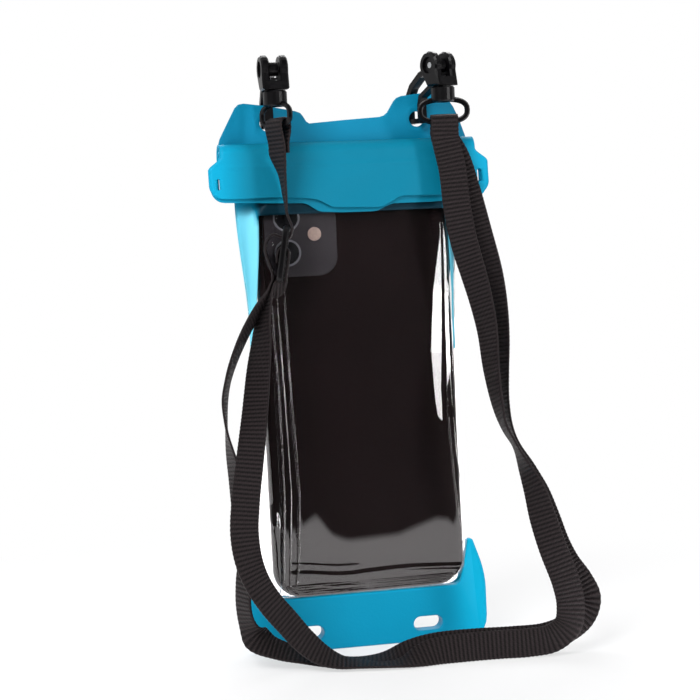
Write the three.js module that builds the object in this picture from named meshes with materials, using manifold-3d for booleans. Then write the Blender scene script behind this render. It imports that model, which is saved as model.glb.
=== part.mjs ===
// Waterproof phone pouch: a clear film bag with blue borders and a fold-over closure, a phone inside,
// and a neck strap that hangs from two snap clips. Millimetres, +Z up, the front faces -Y.
// The origin is the middle of the underside of the bottom band.

import * as THREE from 'three';
import { mergeVertices } from 'three/addons/utils/BufferGeometryUtils.js';
import Module from 'manifold-3d';

const wasm = await Module();
wasm.setup();

// Clearances
const fitGap = 0.3; // between two pieces that touch
const cutMargin = 5; // how far a cutting solid reaches past what it cuts

// Phone
const phoneWidth = 71.5;
const phoneHeight = 146.7;
const phoneThickness = 7.8;
const phoneCorner = 10;
const phoneEdgeRound = 2.6;
const phoneShift = 1.1; // it sits a little to the right in the pouch
const phoneLean = 0.4; // and leans, in degrees, so that its bottom is further right
const islandWidth = 28;
const islandHeight = 30;
const islandInset = 3.4;
const islandCorner = 7;
const grooveWidth = 0.5;
const grooveDepth = 0.35;
const lensRadius = 6.1;
const lensPitch = 14.8;
const flashRadius = 2.6;

// Bottom band with its two side wings
const bandWidth = 90.5;
const bandHeight = 20;
const bandThickness = 7;
const bandCorner = 8;
const bandEdgeRound = 0.7;
const windowCorner = 2.5;
const wingRise = 16.5; // over the band
const wingBaseWidth = 10;
const wingTipWidth = 1.8;
const wingLean = 4; // how far the outer edge moves in by the tip
const wingTipThickness = 3;
const slotSpacing = 45;
const slotLength = 11;
const slotWidth = 5.2;
const slotHeight = 6.6;

// Clear films
const filmThickness = 0.5;
const sheetStep = 0.5; // from the film to a border on it, along Y where both slope
const filmWidth = 79.6;
const filmTopOverPhone = 4.8;
const filmGrip = 1.2; // how far inside the phone's outline the film starts to fall away
const filmReach = 4.6; // the length of that fall

// Borders: welded sheets that run up the mouth, over the fold and down in front as two lips
const borderThickness = 0.8;
const borderLegLength = 59; // down from the phone's top
const borderWidthAtTip = 78;
const borderWidth = 83.6;
const borderWidthAtFold = 94.5;
const borderBandDepth = 7.2; // the band over the mouth reaches this far down over the phone
const windowWidthAtTip = 74;
const windowWidthAtTop = 68.6;
const foldOverPhone = 18.8;
const lipDrop = 24.5; // from the fold's top to the tip of the outer lip's tab
const lipSideRise = 4.8; // the lip's sides end this much above its tab
const innerLipDrop = 1; // the inner lip shows this much below the outer one's tab
const innerLipSideRise = 3;
const tabHalfWidth = 11;
const tabSlope = 5.5;
const endTabWidth = 103.6;
const endTabUnderFold = 9; // the tab is at full width this far under the fold's top
const endTabShoulder = 2.5;
const endTabCorner = 5;
const endSlotInset = 3.4;
const endSlotWidth = 1.8;
const endSlotLength = 5;
const endSlotUnderFold = 14.5;
const lipLean = 1.45; // how far a lip stands off lower down, where it lies over the phone

// Press-to-close zip, and the hook-and-loop strips that hold the fold down
const zipThickness = 1.25;
const zipHeight = 7;
const zipUnderFold = 8.5;
const ribPitch = 3.4;
const ribWidth = 0.8;
const ribReach = 0.75;
const stripThickness = 0.8;
const stripWidth = 70;
const stripHeight = 8;
const stripUnderFold = 9.5;

// Hang panel with two ears
const panelThickness = 1.2;
const panelUnderFold = 14;
const panelWidth = 92;
const panelOverFold = 7; // between the ears
const earOverFold = 14.5;
const earInner = 15.5;
const earInnerTop = 19;
const earOuterTop = 40;
const earShoulderOverFold = 5.5;
const earShoulderHalf = 47;
const earCorner = 2.5;
const holeSpacing = 56;
const holeOverFold = 7.4;
const holeRadius = 2.8;

// Snap clips. Each is made about its ear hole: Y runs through the hole, and Z is up.
const clipTurn = { left: 2, right: 24 };
const ringTurn = { left: -65, right: -10 };
const clipReach = 16.4; // from the hole forward to the swivel's axis
const collarRadius = 4.3;
const collarBottom = 4.8;
const collarHeight = 5.5;
const collarLip = 1.7;
const stemRadius = 1.4;
const stemHeadRadius = 2.3;
const stemHeadHeight = 1.3;
const stemPlay = 0.35;
const ringWireRadius = 1;
const ringHalfWidth = 8.6;
const ringHalfHeight = 4.1;
const ringPower = 2.6; // 2 is an ellipse; more is squarer
const ringMiddle = 1.6;
const cheekRadius = 5;
const cheekThickness = 2.9;
const cheekGap = 3.9;
const cheekSetBack = 2.2; // the cheeks' centre lies this far behind the swivel's axis
const cheekHeight = 18.2;
const neckHeight = 3.2;
const neckHalfDepth = 3.4;
const dimpleRadius = 3;
const dimpleDepth = 0.9;
const pinRadius = 1.1;
const hubRadius = 2.6;
const jawWidth = 3.2;
const jawThickness = 2.2;
const noseHalfWidth = 1;
const noseHalfHeight = 0.9;
const noseDrop = 0.9; // the nose lies this far under the hole's centre
const frontArmWidth = 3.2;
const frontArmThickness = 1.5;
const frontArmSetBack = 3.8;
const springThickness = 0.4;
const springBow = 0.6;

// Strap webbing and its slider
const webbingWidth = 10;
const webbingThickness = 1;
const sliderUnderFold = 40.2;
const sliderTurn = -102;
const sliderTilt = 10;
const sliderLength = 20.2;
const sliderBar = 2.2;
const sliderRail = 2;
const sliderThickness = 2.2;
const routeFold = 186; // the strap's route is written for a fold at this height

// Colours and finishes
const finishes = {
  clearFilm: { color: 0xcfd6da, roughness: 0.08, metalness: 0, transparent: true, opacity: 0.25 },
  blueSheet: { color: 0x0a9bc2, roughness: 0.5, metalness: 0 },
  blueBand: { color: 0x06a0c8, roughness: 0.45, metalness: 0 },
  zip: { color: 0x0f86a8, roughness: 0.5, metalness: 0 },
  strip: { color: 0x14181c, roughness: 0.95, metalness: 0 },
  phone: { color: 0x211d1f, roughness: 0.2, metalness: 0 },
  clip: { color: 0x1c1b1d, roughness: 0.4, metalness: 0 },
  steel: { color: 0xb4b6b8, roughness: 0.3, metalness: 1 },
  webbing: { color: 0x2b2629, roughness: 0.9, metalness: 0 },
};

// Worked-out places
const phoneBottom = bandHeight + fitGap + 0.2;
const phoneTop = phoneBottom + phoneHeight;
const phoneMiddle = (phoneBottom + phoneTop) / 2;
const phoneFace = phoneThickness / 2;
const weldHalf = fitGap / 2;
const filmTop = phoneTop + filmTopOverPhone;
const foldHeight = phoneTop + foldOverPhone;
const borderLegBottom = phoneTop - borderLegLength;
const borderBandBottom = phoneTop - borderBandDepth;
const wingTopHeight = bandHeight + wingRise;
const zipMiddle = foldHeight - zipUnderFold;
const stripMiddle = foldHeight - stripUnderFold;
const holeHeight = foldHeight + holeOverFold;
const routeScale = foldHeight / routeFold;
const sliderMiddle = new THREE.Vector3(-27.2, -13.5, foldHeight - sliderUnderFold);
const mouthHalf = zipThickness + fitGap; // inner faces of the borders where the zip lies between them
const borderOuter = mouthHalf + borderThickness;
const lipFace = borderOuter + 3 * fitGap + 2 * stripThickness; // back face of the inner lip, high up
const outerLipFace = lipFace + borderThickness + fitGap;
const outerFoldRadius = (mouthHalf + outerLipFace) / 2; // of the fold's inside
const innerFoldRadius = (lipFace - borderOuter) / 2;
const foldSpring = foldHeight - outerFoldRadius - borderThickness; // where the fold's curve begins
const lipBottom = foldHeight - lipDrop;
const panelBack = borderOuter + fitGap;
const panelMiddle = panelBack + panelThickness / 2;
const toRadians = THREE.MathUtils.degToRad;
const clamp = THREE.MathUtils.clamp;

// Solids for joining and cutting

function toSolid(geometry) {
  const plain = geometry.clone();
  plain.deleteAttribute('normal');
  plain.deleteAttribute('uv');
  const merged = mergeVertices(plain, 1e-5);
  return new wasm.Manifold(new wasm.Mesh({
    numProp: 3,
    vertProperties: new Float32Array(merged.attributes.position.array),
    triVerts: new Uint32Array(merged.index.array),
  }));
}

function toGeometry(solid) {
  const mesh = solid.getMesh();
  const geometry = new THREE.BufferGeometry();
  geometry.setAttribute('position', new THREE.BufferAttribute(new Float32Array(mesh.vertProperties), 3));
  geometry.setIndex(new THREE.BufferAttribute(new Uint32Array(mesh.triVerts), 1));
  geometry.computeVertexNormals();
  return geometry;
}

// Turns a closed surface's faces outward by the sign of the volume that it encloses.
function faceOutward(positions, index) {
  let volume = 0;
  const corner = [0, 1, 2].map(() => new THREE.Vector3());
  for (let i = 0; i < index.length; i += 3) {
    corner.forEach((v, k) => v.fromArray(positions, 3 * index[i + k]));
    volume += corner[0].dot(corner[1].cross(corner[2]));
  }
  if (volume < 0) {
    for (let i = 0; i < index.length; i += 3) {
      [index[i + 1], index[i + 2]] = [index[i + 2], index[i + 1]];
    }
  }
  const geometry = new THREE.BufferGeometry();
  geometry.setAttribute('position', new THREE.Float32BufferAttribute(positions, 3));
  geometry.setIndex(index);
  geometry.computeVertexNormals();
  return geometry;
}

// A closed slab between two surfaces over a grid: place(u, v, 0) is its near face, and place(u, v, 1)
// its far one.
function slab(us, vs, place) {
  const positions = [];
  const index = [];
  const at = (i, j, k) => (k * us.length + i) * vs.length + j;
  const quad = (a, b, c, d) => index.push(a, b, c, a, c, d);
  for (const k of [0, 1]) {
    for (const u of us) {
      for (const v of vs) positions.push(...place(u, v, k));
    }
  }
  const lastI = us.length - 1;
  const lastJ = vs.length - 1;
  for (let i = 0; i < lastI; i += 1) {
    for (let j = 0; j < lastJ; j += 1) {
      quad(at(i, j, 1), at(i + 1, j, 1), at(i + 1, j + 1, 1), at(i, j + 1, 1));
      quad(at(i, j, 0), at(i, j + 1, 0), at(i + 1, j + 1, 0), at(i + 1, j, 0));
    }
    quad(at(i, 0, 0), at(i + 1, 0, 0), at(i + 1, 0, 1), at(i, 0, 1));
    quad(at(i, lastJ, 0), at(i, lastJ, 1), at(i + 1, lastJ, 1), at(i + 1, lastJ, 0));
  }
  for (let j = 0; j < lastJ; j += 1) {
    quad(at(0, j, 0), at(0, j, 1), at(0, j + 1, 1), at(0, j + 1, 0));
    quad(at(lastI, j, 0), at(lastI, j + 1, 0), at(lastI, j + 1, 1), at(lastI, j, 1));
  }
  return faceOutward(positions, index);
}

// A closed outline with each corner rounded by its own radius: corners are [x, y, radius].
function roundedPath(corners, path = new THREE.Shape()) {
  const count = corners.length;
  corners.forEach(([x, y, radius = 0], i) => {
    const here = new THREE.Vector2(x, y);
    const before = new THREE.Vector2(...corners[(i + count - 1) % count].slice(0, 2)).sub(here);
    const after = new THREE.Vector2(...corners[(i + 1) % count].slice(0, 2)).sub(here);
    const enter = before.setLength(Math.min(radius, before.length() / 2)).add(here);
    const leave = after.setLength(Math.min(radius, after.length() / 2)).add(here);
    if (i === 0) path.moveTo(enter.x, enter.y);
    else path.lineTo(enter.x, enter.y);
    if (radius > 0) path.quadraticCurveTo(x, y, leave.x, leave.y);
  });
  path.closePath();
  return path;
}

const mirrored = (half) => [...half, ...half.map(([x, z, radius]) => [-x, z, radius]).reverse()];

function circle(x, y, radius, sides = 24, path = new THREE.Shape()) {
  const points = Array.from({ length: sides }, (_, i) => {
    const turn = 2 * Math.PI * i / sides;
    return new THREE.Vector2(x + radius * Math.cos(turn), y + radius * Math.sin(turn));
  });
  path.setFromPoints(points);
  return path;
}

function slotOutline(x, y, length, width, path = new THREE.Path()) {
  const reach = (length - width) / 2;
  path.moveTo(x - reach, y - width / 2);
  path.lineTo(x + reach, y - width / 2);
  path.absarc(x + reach, y, width / 2, -Math.PI / 2, Math.PI / 2, false);
  path.lineTo(x - reach, y + width / 2);
  path.absarc(x - reach, y, width / 2, Math.PI / 2, 1.5 * Math.PI, false);
  return path;
}

// An outline in X and Z, extruded along Y from near to far.
function throughY(shape, near, far, options = {}) {
  const geometry = new THREE.ExtrudeGeometry(shape, {
    depth: far - near, bevelEnabled: false, curveSegments: 5, ...options,
  });
  return geometry.rotateX(Math.PI / 2).translate(0, far, 0);
}

// An outline in Y and Z, extruded along X to both sides of the middle.
function throughX(shape, width, middle = 0, options = {}) {
  const geometry = new THREE.ExtrudeGeometry(shape, {
    depth: width, bevelEnabled: false, curveSegments: 6, ...options,
  });
  const axes = new THREE.Matrix4().makeBasis(
    new THREE.Vector3(0, 1, 0), new THREE.Vector3(0, 0, 1), new THREE.Vector3(1, 0, 0),
  );
  return geometry.applyMatrix4(axes).translate(middle - width / 2, 0, 0);
}

// The outline of a bar of even thickness along a bent line of points.
function barOutline(points, thickness) {
  const line = points.map(([x, y]) => new THREE.Vector2(x, y));
  const sides = line.map((point, i) => {
    const before = line[Math.max(i - 1, 0)];
    const after = line[Math.min(i + 1, line.length - 1)];
    const inward = point.clone().sub(before).normalize();
    const outward = after.clone().sub(point).normalize();
    const along = inward.add(outward).normalize();
    const across = new THREE.Vector2(-along.y, along.x);
    const edge = after.clone().sub(before).normalize();
    const stretch = i === 0 || i === line.length - 1 ? 1 : 1 / Math.max(edge.dot(along), 0.7);
    return across.multiplyScalar(thickness / 2 * stretch);
  });
  const left = line.map((point, i) => point.clone().add(sides[i]));
  const right = line.map((point, i) => point.clone().sub(sides[i])).reverse();
  return new THREE.Shape([...left, ...right]);
}

function rod(radius, length, segments = 20) {
  return new THREE.CylinderGeometry(radius, radius, length, segments);
}

// A cylinder along X, centred at a height and depth.
const rodX = (radius, length, y, z, segments) => (
  rod(radius, length, segments).rotateZ(Math.PI / 2).translate(0, y, z)
);

// Body of the pouch

// How far a point of the front view lies outside the phone's outline.
function phoneDistance(x, z) {
  const turn = toRadians(phoneLean);
  const right = x - phoneShift;
  const high = z - phoneMiddle;
  const across = Math.abs(right * Math.cos(turn) + high * Math.sin(turn)) - (phoneWidth / 2 - phoneCorner);
  const up = Math.abs(high * Math.cos(turn) - right * Math.sin(turn)) - (phoneHeight / 2 - phoneCorner);
  const corner = Math.hypot(Math.max(across, 0), Math.max(up, 0));
  return corner + Math.min(Math.max(across, up), 0) - phoneCorner;
}

const easeBetween = (from, to, value) => {
  const part = clamp((value - from) / (to - from), 0, 1);
  return part * part * (3 - 2 * part);
};

// Half the room between the two films: the phone's own over it, and closed at the weld around it.
function filmInside(x, z) {
  const fall = easeBetween(-filmGrip, filmReach - filmGrip, phoneDistance(x, z));
  return weldHalf + (phoneFace + fitGap - weldHalf) * (1 - fall);
}

// The borders lie on the films, and open to take the zip above them.
function borderInside(x, z) {
  const mouth = mouthHalf * easeBetween(filmTop - 3, filmTop, z);
  return Math.max(filmInside(x, z) + filmThickness + sheetStep, mouth);
}

const columnReach = [20, 8, 5.8, 4.6, 3.4, 2.3, 1.2, 0.1, -1.1, -2.5, -4.5, -7, -10, -20];
const bodyColumns = [
  ...columnReach.map((reach) => -phoneWidth / 2 - reach),
  ...columnReach.map((reach) => phoneWidth / 2 + reach).reverse(),
];
const bodyRows = [
  0, 0.9, 2.6, 4.4, 6.2, 8.2, 10.5, 13, 60, phoneHeight - 12, phoneHeight - 9.5, phoneHeight - 7.2,
  phoneHeight - 5, phoneHeight - 3, phoneHeight - 1.2, phoneHeight + 0.8, phoneHeight + 2.6,
  phoneHeight + filmTopOverPhone,
].map((rise) => phoneBottom + rise);

function windowOutline() {
  const bottom = bandHeight + fitGap;
  const bandInner = bandWidth / 2 - wingBaseWidth - fitGap;
  const tipInner = bandWidth / 2 - wingLean - wingTipWidth - fitGap;
  return roundedPath(mirrored([
    [bandInner, bottom, windowCorner],
    [tipInner, wingTopHeight, 1],
    [filmWidth / 2, wingTopHeight + wingTipWidth + fitGap, 1],
    [filmWidth / 2, filmTop],
  ]));
}

function film(side) {
  const rows = [bandHeight, ...bodyRows];
  const sheet = slab(bodyColumns, rows, (x, z, k) => [x, side * (filmInside(x, z) + k * filmThickness), z]);
  const outline = throughY(windowOutline(), -20, 20);
  return toGeometry(toSolid(sheet).intersect(toSolid(outline)));
}

function bottomBand() {
  const half = bandWidth / 2;
  const shape = roundedPath(mirrored([
    [half, 0, bandCorner],
    [half, bandHeight + 4, 6],
    [half - wingLean, wingTopHeight, 0.8],
    [half - wingLean - wingTipWidth, wingTopHeight, 0.8],
    [half - wingBaseWidth, bandHeight, windowCorner],
  ]));
  for (const side of [-1, 1]) {
    shape.holes.push(slotOutline(side * slotSpacing / 2, slotHeight, slotLength, slotWidth));
  }
  const geometry = throughY(shape, -bandThickness / 2 + bandEdgeRound, bandThickness / 2 - bandEdgeRound, {
    bevelEnabled: true,
    bevelThickness: bandEdgeRound,
    bevelSize: bandEdgeRound,
    bevelOffset: -bandEdgeRound,
    bevelSegments: 2,
  });
  const place = geometry.attributes.position;
  for (let i = 0; i < place.count; i += 1) {
    const rise = clamp((place.getZ(i) - bandHeight) / (wingTopHeight - bandHeight), 0, 1);
    place.setY(i, place.getY(i) * (1 - rise * (1 - wingTipThickness / bandThickness)));
  }
  return toGeometry(toSolid(geometry));
}

function phone() {
  const flat = phoneEdgeRound;
  const half = phoneWidth / 2;
  const outline = roundedPath(mirrored([
    [half, phoneBottom, phoneCorner * 1.2],
    [half, phoneTop, phoneCorner * 1.2],
  ]));
  const body = throughY(outline, -phoneFace + flat, phoneFace - flat, {
    bevelEnabled: true,
    bevelThickness: flat,
    bevelSize: flat,
    bevelOffset: -flat,
    bevelSegments: 3,
  });
  const left = -half + islandInset;
  const top = phoneTop - islandInset;
  const frame = (grow) => roundedPath([
    [left - grow, top + grow, islandCorner],
    [left - grow, top - islandHeight - grow, islandCorner],
    [left + islandWidth + grow, top - islandHeight - grow, islandCorner],
    [left + islandWidth + grow, top + grow, islandCorner],
  ]);
  const cutFrom = -phoneFace - cutMargin;
  const cutTo = -phoneFace + grooveDepth;
  const cut = (shape) => toSolid(throughY(shape, cutFrom, cutTo));
  const groove = cut(frame(0)).subtract(toSolid(throughY(frame(-grooveWidth), cutFrom - 1, cutTo + 1)));
  const lensX = left + lensRadius + 1.4;
  const middle = top - islandHeight / 2;
  let solid = toSolid(body).subtract(groove);
  for (const step of [-1, 1]) {
    solid = solid.subtract(cut(circle(lensX, middle + step * lensPitch / 2, lensRadius)));
  }
  solid = solid.subtract(cut(circle(left + islandWidth - flashRadius - 3.4, middle, flashRadius, 16)));
  return toGeometry(solid)
    .translate(0, 0, -phoneMiddle)
    .rotateY(toRadians(-phoneLean))
    .translate(phoneShift, 0, phoneMiddle);
}

// The part of a border that lies flat on the pouch: two legs beside the window, and a band over the mouth.
function borderBody(side) {
  const rows = [
    borderLegBottom - 1, ...bodyRows.filter((z) => z > borderLegBottom + 1), zipMiddle, foldSpring + 0.5,
  ];
  const place = (x, z, k) => [x, side * (borderInside(x, z) + k * borderThickness), z];
  const sheet = slab(bodyColumns, rows, place);
  const half = borderWidthAtTip / 2 + 40;
  const window = roundedPath(mirrored([
    [windowWidthAtTip / 2 + 0.4, borderLegBottom - cutMargin],
    [windowWidthAtTip / 2, borderLegBottom + 15, 8],
    [windowWidthAtTop / 2, borderBandBottom, 4],
  ]));
  const outer = roundedPath(mirrored([
    [borderWidthAtTip / 2 - 0.6, borderLegBottom, 0.5],
    [borderWidthAtTip / 2, borderLegBottom + 12, 6],
    [borderWidth / 2, phoneTop - 17, 6],
    [borderWidth / 2, phoneTop + 3, 4],
    [borderWidthAtFold / 2, foldSpring - 1, 2],
    [borderWidthAtFold / 2, foldSpring + 0.5],
  ]));
  return toSolid(sheet)
    .intersect(toSolid(throughY(outer, -half, half)))
    .subtract(toSolid(throughY(window, -half, half)));
}

// The lip: from the mouth over the fold, then down in front to the tab.
function lip(from, radius, lipAt, bottom, sideRise, width) {
  const turns = [0, 22.5, 45, 67.5, 90, 112.5, 135, 157.5, 180];
  const downs = [0.25, 0.5, 0.75, 1];
  const steps = [...turns.map((turn) => [turn, 0]), ...downs.map((down) => [180, down])];
  const middle = from - Math.sign(from - lipAt) * radius;
  const columns = [-1, -0.5, 0, 0.5, 1].map((part) => part * (width / 2 + cutMargin));
  const sheet = slab(columns, steps.map((_, i) => i), (x, i, k) => {
    const [turn, down] = steps[i];
    const reach = radius + k * borderThickness;
    const y = middle + reach * Math.cos(toRadians(turn));
    const z = foldSpring + reach * Math.sin(toRadians(turn));
    return [x, y - down * lipLean, z - down * (foldSpring - bottom + 2)];
  });
  const sides = bottom + sideRise;
  const outline = roundedPath(mirrored([
    [tabHalfWidth, bottom, 2],
    [tabHalfWidth + tabSlope, sides, 2.5],
    [width / 2, sides - 0.6, endTabCorner],
    [width / 2, foldHeight - endTabUnderFold, endTabCorner],
    [borderWidthAtFold / 2, foldHeight - endTabShoulder, 2],
    [borderWidthAtFold / 2, foldHeight + cutMargin],
  ]));
  const endSlotHeight = foldHeight - endSlotUnderFold;
  for (const side of [-1, 1]) {
    const x = side * (endTabWidth / 2 - endSlotInset);
    outline.holes.push(roundedPath([
      [x - endSlotWidth / 2, endSlotHeight - endSlotLength / 2, 0.8],
      [x + endSlotWidth / 2, endSlotHeight - endSlotLength / 2, 0.8],
      [x + endSlotWidth / 2, endSlotHeight + endSlotLength / 2, 0.8],
      [x - endSlotWidth / 2, endSlotHeight + endSlotLength / 2, 0.8],
    ], new THREE.Path()));
  }
  return toSolid(sheet).intersect(toSolid(throughY(outline, -30, 30)));
}

const backBorder = () => toGeometry(borderBody(1).add(
  lip(mouthHalf, outerFoldRadius, -outerLipFace, lipBottom, lipSideRise, endTabWidth),
));
const frontBorder = () => toGeometry(borderBody(-1).add(
  lip(-borderOuter, innerFoldRadius, -lipFace, lipBottom - innerLipDrop, innerLipSideRise, endTabWidth - 1.4),
));

// Zip profile: one strip has ribs, and the other has the channels that they press into.
function zipStrip(kind) {
  const bottom = zipMiddle - zipHeight / 2;
  const top = zipMiddle + zipHeight / 2;
  const outline = [];
  const levels = [zipMiddle - ribPitch / 2, zipMiddle + ribPitch / 2];
  if (kind === 'rib') {
    outline.push([-zipThickness, bottom], [-fitGap, bottom]);
    for (const level of levels) {
      outline.push([-fitGap, level - ribWidth / 2], [ribReach - fitGap, level - ribWidth / 2]);
      outline.push([ribReach - fitGap, level + ribWidth / 2], [-fitGap, level + ribWidth / 2]);
    }
    outline.push([-fitGap, top], [-zipThickness, top]);
  } else {
    const half = ribWidth / 2 + fitGap;
    outline.push([zipThickness, top], [0, top]);
    for (const level of [...levels].reverse()) {
      outline.push([0, level + half], [ribReach, level + half], [ribReach, level - half], [0, level - half]);
    }
    outline.push([0, bottom], [zipThickness, bottom]);
  }
  const shape = new THREE.Shape(outline.map(([y, z]) => new THREE.Vector2(y, z)));
  return toGeometry(toSolid(throughX(shape, filmWidth)));
}

// Hook strip on the pouch, and loop strip on the lip's inner face.
function closureStrip(nearFace) {
  const shape = roundedPath(mirrored([
    [stripWidth / 2, stripMiddle - stripHeight / 2, 1.5],
    [stripWidth / 2, stripMiddle + stripHeight / 2, 1.5],
  ]));
  return toGeometry(toSolid(throughY(shape, -nearFace - stripThickness, -nearFace)));
}

function hangPanel() {
  const earTop = foldHeight + earOverFold;
  const shape = roundedPath(mirrored([
    [panelWidth / 2, foldHeight - panelUnderFold, 3],
    [earShoulderHalf, foldHeight - panelUnderFold / 2, 3],
    [earShoulderHalf, foldHeight + earShoulderOverFold, 3],
    [earOuterTop, earTop, earCorner * 2],
    [earInnerTop, earTop, earCorner],
    [earInner, foldHeight + panelOverFold, earCorner],
  ]));
  for (const side of [-1, 1]) {
    shape.holes.push(circle(side * holeSpacing / 2, holeHeight, holeRadius, 24, new THREE.Path()));
  }
  return toGeometry(toSolid(throughY(shape, panelBack, panelBack + panelThickness)));
}

// Snap clips

const cheekMiddle = { y: -clipReach + cheekSetBack, z: cheekHeight };
const neckBottom = collarBottom + collarHeight + fitGap;
const neckTop = neckBottom + neckHeight;
const bodyHalfWidth = cheekGap / 2 + cheekThickness;

// Cheeks that taper to the neck, the swivel's stem and head, and the arm in front of the ear.
function clipBody() {
  const cheek = new THREE.Shape();
  cheek.moveTo(-clipReach - neckHalfDepth, neckBottom);
  cheek.lineTo(-clipReach + neckHalfDepth, neckBottom);
  cheek.absarc(cheekMiddle.y, cheekMiddle.z, cheekRadius, toRadians(-20), toRadians(200), false);
  const bevel = { bevelEnabled: true, bevelThickness: 0.6, bevelSize: 0.6, bevelOffset: -0.6, bevelSegments: 1 };
  let solid = null;
  for (const side of [-1, 1]) {
    const middle = side * (cheekGap / 2 + cheekThickness / 2);
    const plate = toSolid(throughX(cheek, cheekThickness - 1.2, middle, bevel));
    const dimple = toSolid(rodX(dimpleRadius, 2 * dimpleDepth, cheekMiddle.y, cheekMiddle.z, 24)
      .translate(side * bodyHalfWidth, 0, 0));
    const cut = plate.subtract(dimple);
    solid = solid ? solid.add(cut) : cut;
  }
  const neck = roundedPath([
    [-clipReach - neckHalfDepth + 0.2, neckBottom, 0.5],
    [-clipReach + neckHalfDepth - 0.2, neckBottom, 0.5],
    [-clipReach + neckHalfDepth - 0.2, neckTop, 0.3],
    [-clipReach - neckHalfDepth + 0.2, neckTop, 0.3],
  ]);
  solid = solid.add(toSolid(throughX(neck, 2 * bodyHalfWidth - 2)));
  const lipBottomHeight = collarBottom + collarHeight - collarLip;
  const headTop = lipBottomHeight - fitGap;
  const profile = [
    [0, headTop - stemHeadHeight], [stemHeadRadius - 0.4, headTop - stemHeadHeight], [stemHeadRadius, headTop - 0.5],
    [stemHeadRadius, headTop], [stemRadius, headTop], [stemRadius, neckBottom + 0.5], [0, neckBottom + 0.5],
  ];
  const stem = new THREE.LatheGeometry(profile.map(([r, z]) => new THREE.Vector2(r, z)), 16);
  solid = solid.add(toSolid(stem.rotateX(Math.PI / 2).translate(0, -clipReach, 0)));
  const arm = barOutline([
    [-clipReach + 2, neckBottom + 1], [-clipReach + 5.6, neckBottom + 0.4], [-frontArmSetBack - 0.9, 7.8],
    [-frontArmSetBack, 5], [-frontArmSetBack, -noseDrop - noseHalfHeight],
  ], frontArmThickness);
  solid = solid.add(toSolid(throughX(arm, frontArmWidth)));
  const pinHole = toSolid(rodX(pinRadius + fitGap, 3 * bodyHalfWidth, cheekMiddle.y, cheekMiddle.z, 16));
  return toGeometry(solid.subtract(pinHole));
}

// The jaw turns between the cheeks: its arm goes down behind the ear, and its nose through the hole.
function clipJaw() {
  const arm = barOutline([
    [cheekMiddle.y + pinRadius + 0.8, cheekMiddle.z - 0.3], [-5, 15.6], [0.4, 11.8], [3.2, 7.4], [3.6, 3.4],
    [3.6, -noseDrop - noseHalfHeight],
  ], jawThickness);
  const noseTip = -frontArmSetBack + frontArmThickness / 2 + fitGap;
  const nose = roundedPath([
    [noseTip, -noseDrop - noseHalfHeight, 0.5],
    [3.6, -noseDrop - noseHalfHeight],
    [3.6, -noseDrop + noseHalfHeight],
    [noseTip, -noseDrop + noseHalfHeight, 0.5],
  ]);
  const hub = toSolid(rodX(hubRadius, jawWidth, cheekMiddle.y, cheekMiddle.z, 24));
  const hole = toSolid(rodX(pinRadius + fitGap, 2 * jawWidth, cheekMiddle.y, cheekMiddle.z, 16));
  const solid = hub.add(toSolid(throughX(arm, jawWidth))).add(toSolid(throughX(nose, 2 * noseHalfWidth)));
  return toGeometry(solid.subtract(hole));
}

const clipPin = () => toGeometry(toSolid(
  rodX(pinRadius, 2 * (bodyHalfWidth - dimpleDepth), cheekMiddle.y, cheekMiddle.z, 16),
));

// A small bowed leaf on the neck, under the jaw's hub.
function clipSpring() {
  const bottom = neckTop + fitGap + springThickness / 2;
  const middle = cheekMiddle.y - 0.8;
  const leaf = barOutline([
    [middle - 1.9, bottom], [middle - 0.7, bottom + springBow], [middle + 0.7, bottom + springBow],
    [middle + 1.9, bottom],
  ], springThickness);
  return toGeometry(toSolid(throughX(leaf, jawWidth - 0.8)));
}

// The collar with its moulded oval loop, hollow for the stem's head.
function swivelRing() {
  const sides = 32;
  const round = 6;
  const positions = [];
  const index = [];
  const bend = (value) => Math.sign(value) * Math.abs(value) ** (2 / ringPower);
  const along = (step) => {
    const turn = 2 * Math.PI * step / sides;
    return new THREE.Vector2(ringHalfWidth * bend(Math.cos(turn)), ringHalfHeight * bend(Math.sin(turn)));
  };
  for (let i = 0; i < sides; i += 1) {
    const middle = along(i);
    const tangent = along(i + 0.5).sub(along(i - 0.5)).normalize();
    for (let j = 0; j < round; j += 1) {
      const angle = 2 * Math.PI * j / round;
      const out = ringWireRadius * Math.cos(angle);
      positions.push(middle.x + tangent.y * out, ringWireRadius * Math.sin(angle), middle.y - tangent.x * out);
      const next = (i + 1) % sides;
      const turned = (j + 1) % round;
      index.push(i * round + j, next * round + j, next * round + turned);
      index.push(i * round + j, next * round + turned, i * round + turned);
    }
  }
  const loop = toSolid(faceOutward(positions, index).translate(0, 0, ringMiddle));
  const top = collarBottom + collarHeight;
  const outside = [
    [0, collarBottom], [collarRadius - 0.5, collarBottom], [collarRadius, collarBottom + 0.5],
    [collarRadius, top - 0.5], [collarRadius - 0.5, top], [0, top],
  ];
  const bore = stemRadius + stemPlay;
  const room = stemHeadRadius + stemPlay;
  const inside = [
    [0, ringMiddle], [room, ringMiddle], [room, top - collarLip], [bore, top - collarLip],
    [bore, top + 1], [0, top + 1],
  ];
  const turned = (profile) => toSolid(
    new THREE.LatheGeometry(profile.map(([r, z]) => new THREE.Vector2(r, z)), 24).rotateX(Math.PI / 2),
  );
  const solid = loop.add(turned(outside)).subtract(turned(inside));
  return toGeometry(solid);
}

const clipPlace = (name) => {
  const side = name === 'left' ? -1 : 1;
  const group = new THREE.Group();
  group.position.set(side * holeSpacing / 2, panelMiddle, holeHeight);
  group.rotation.z = toRadians(clipTurn[name]);
  return group;
};

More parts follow.
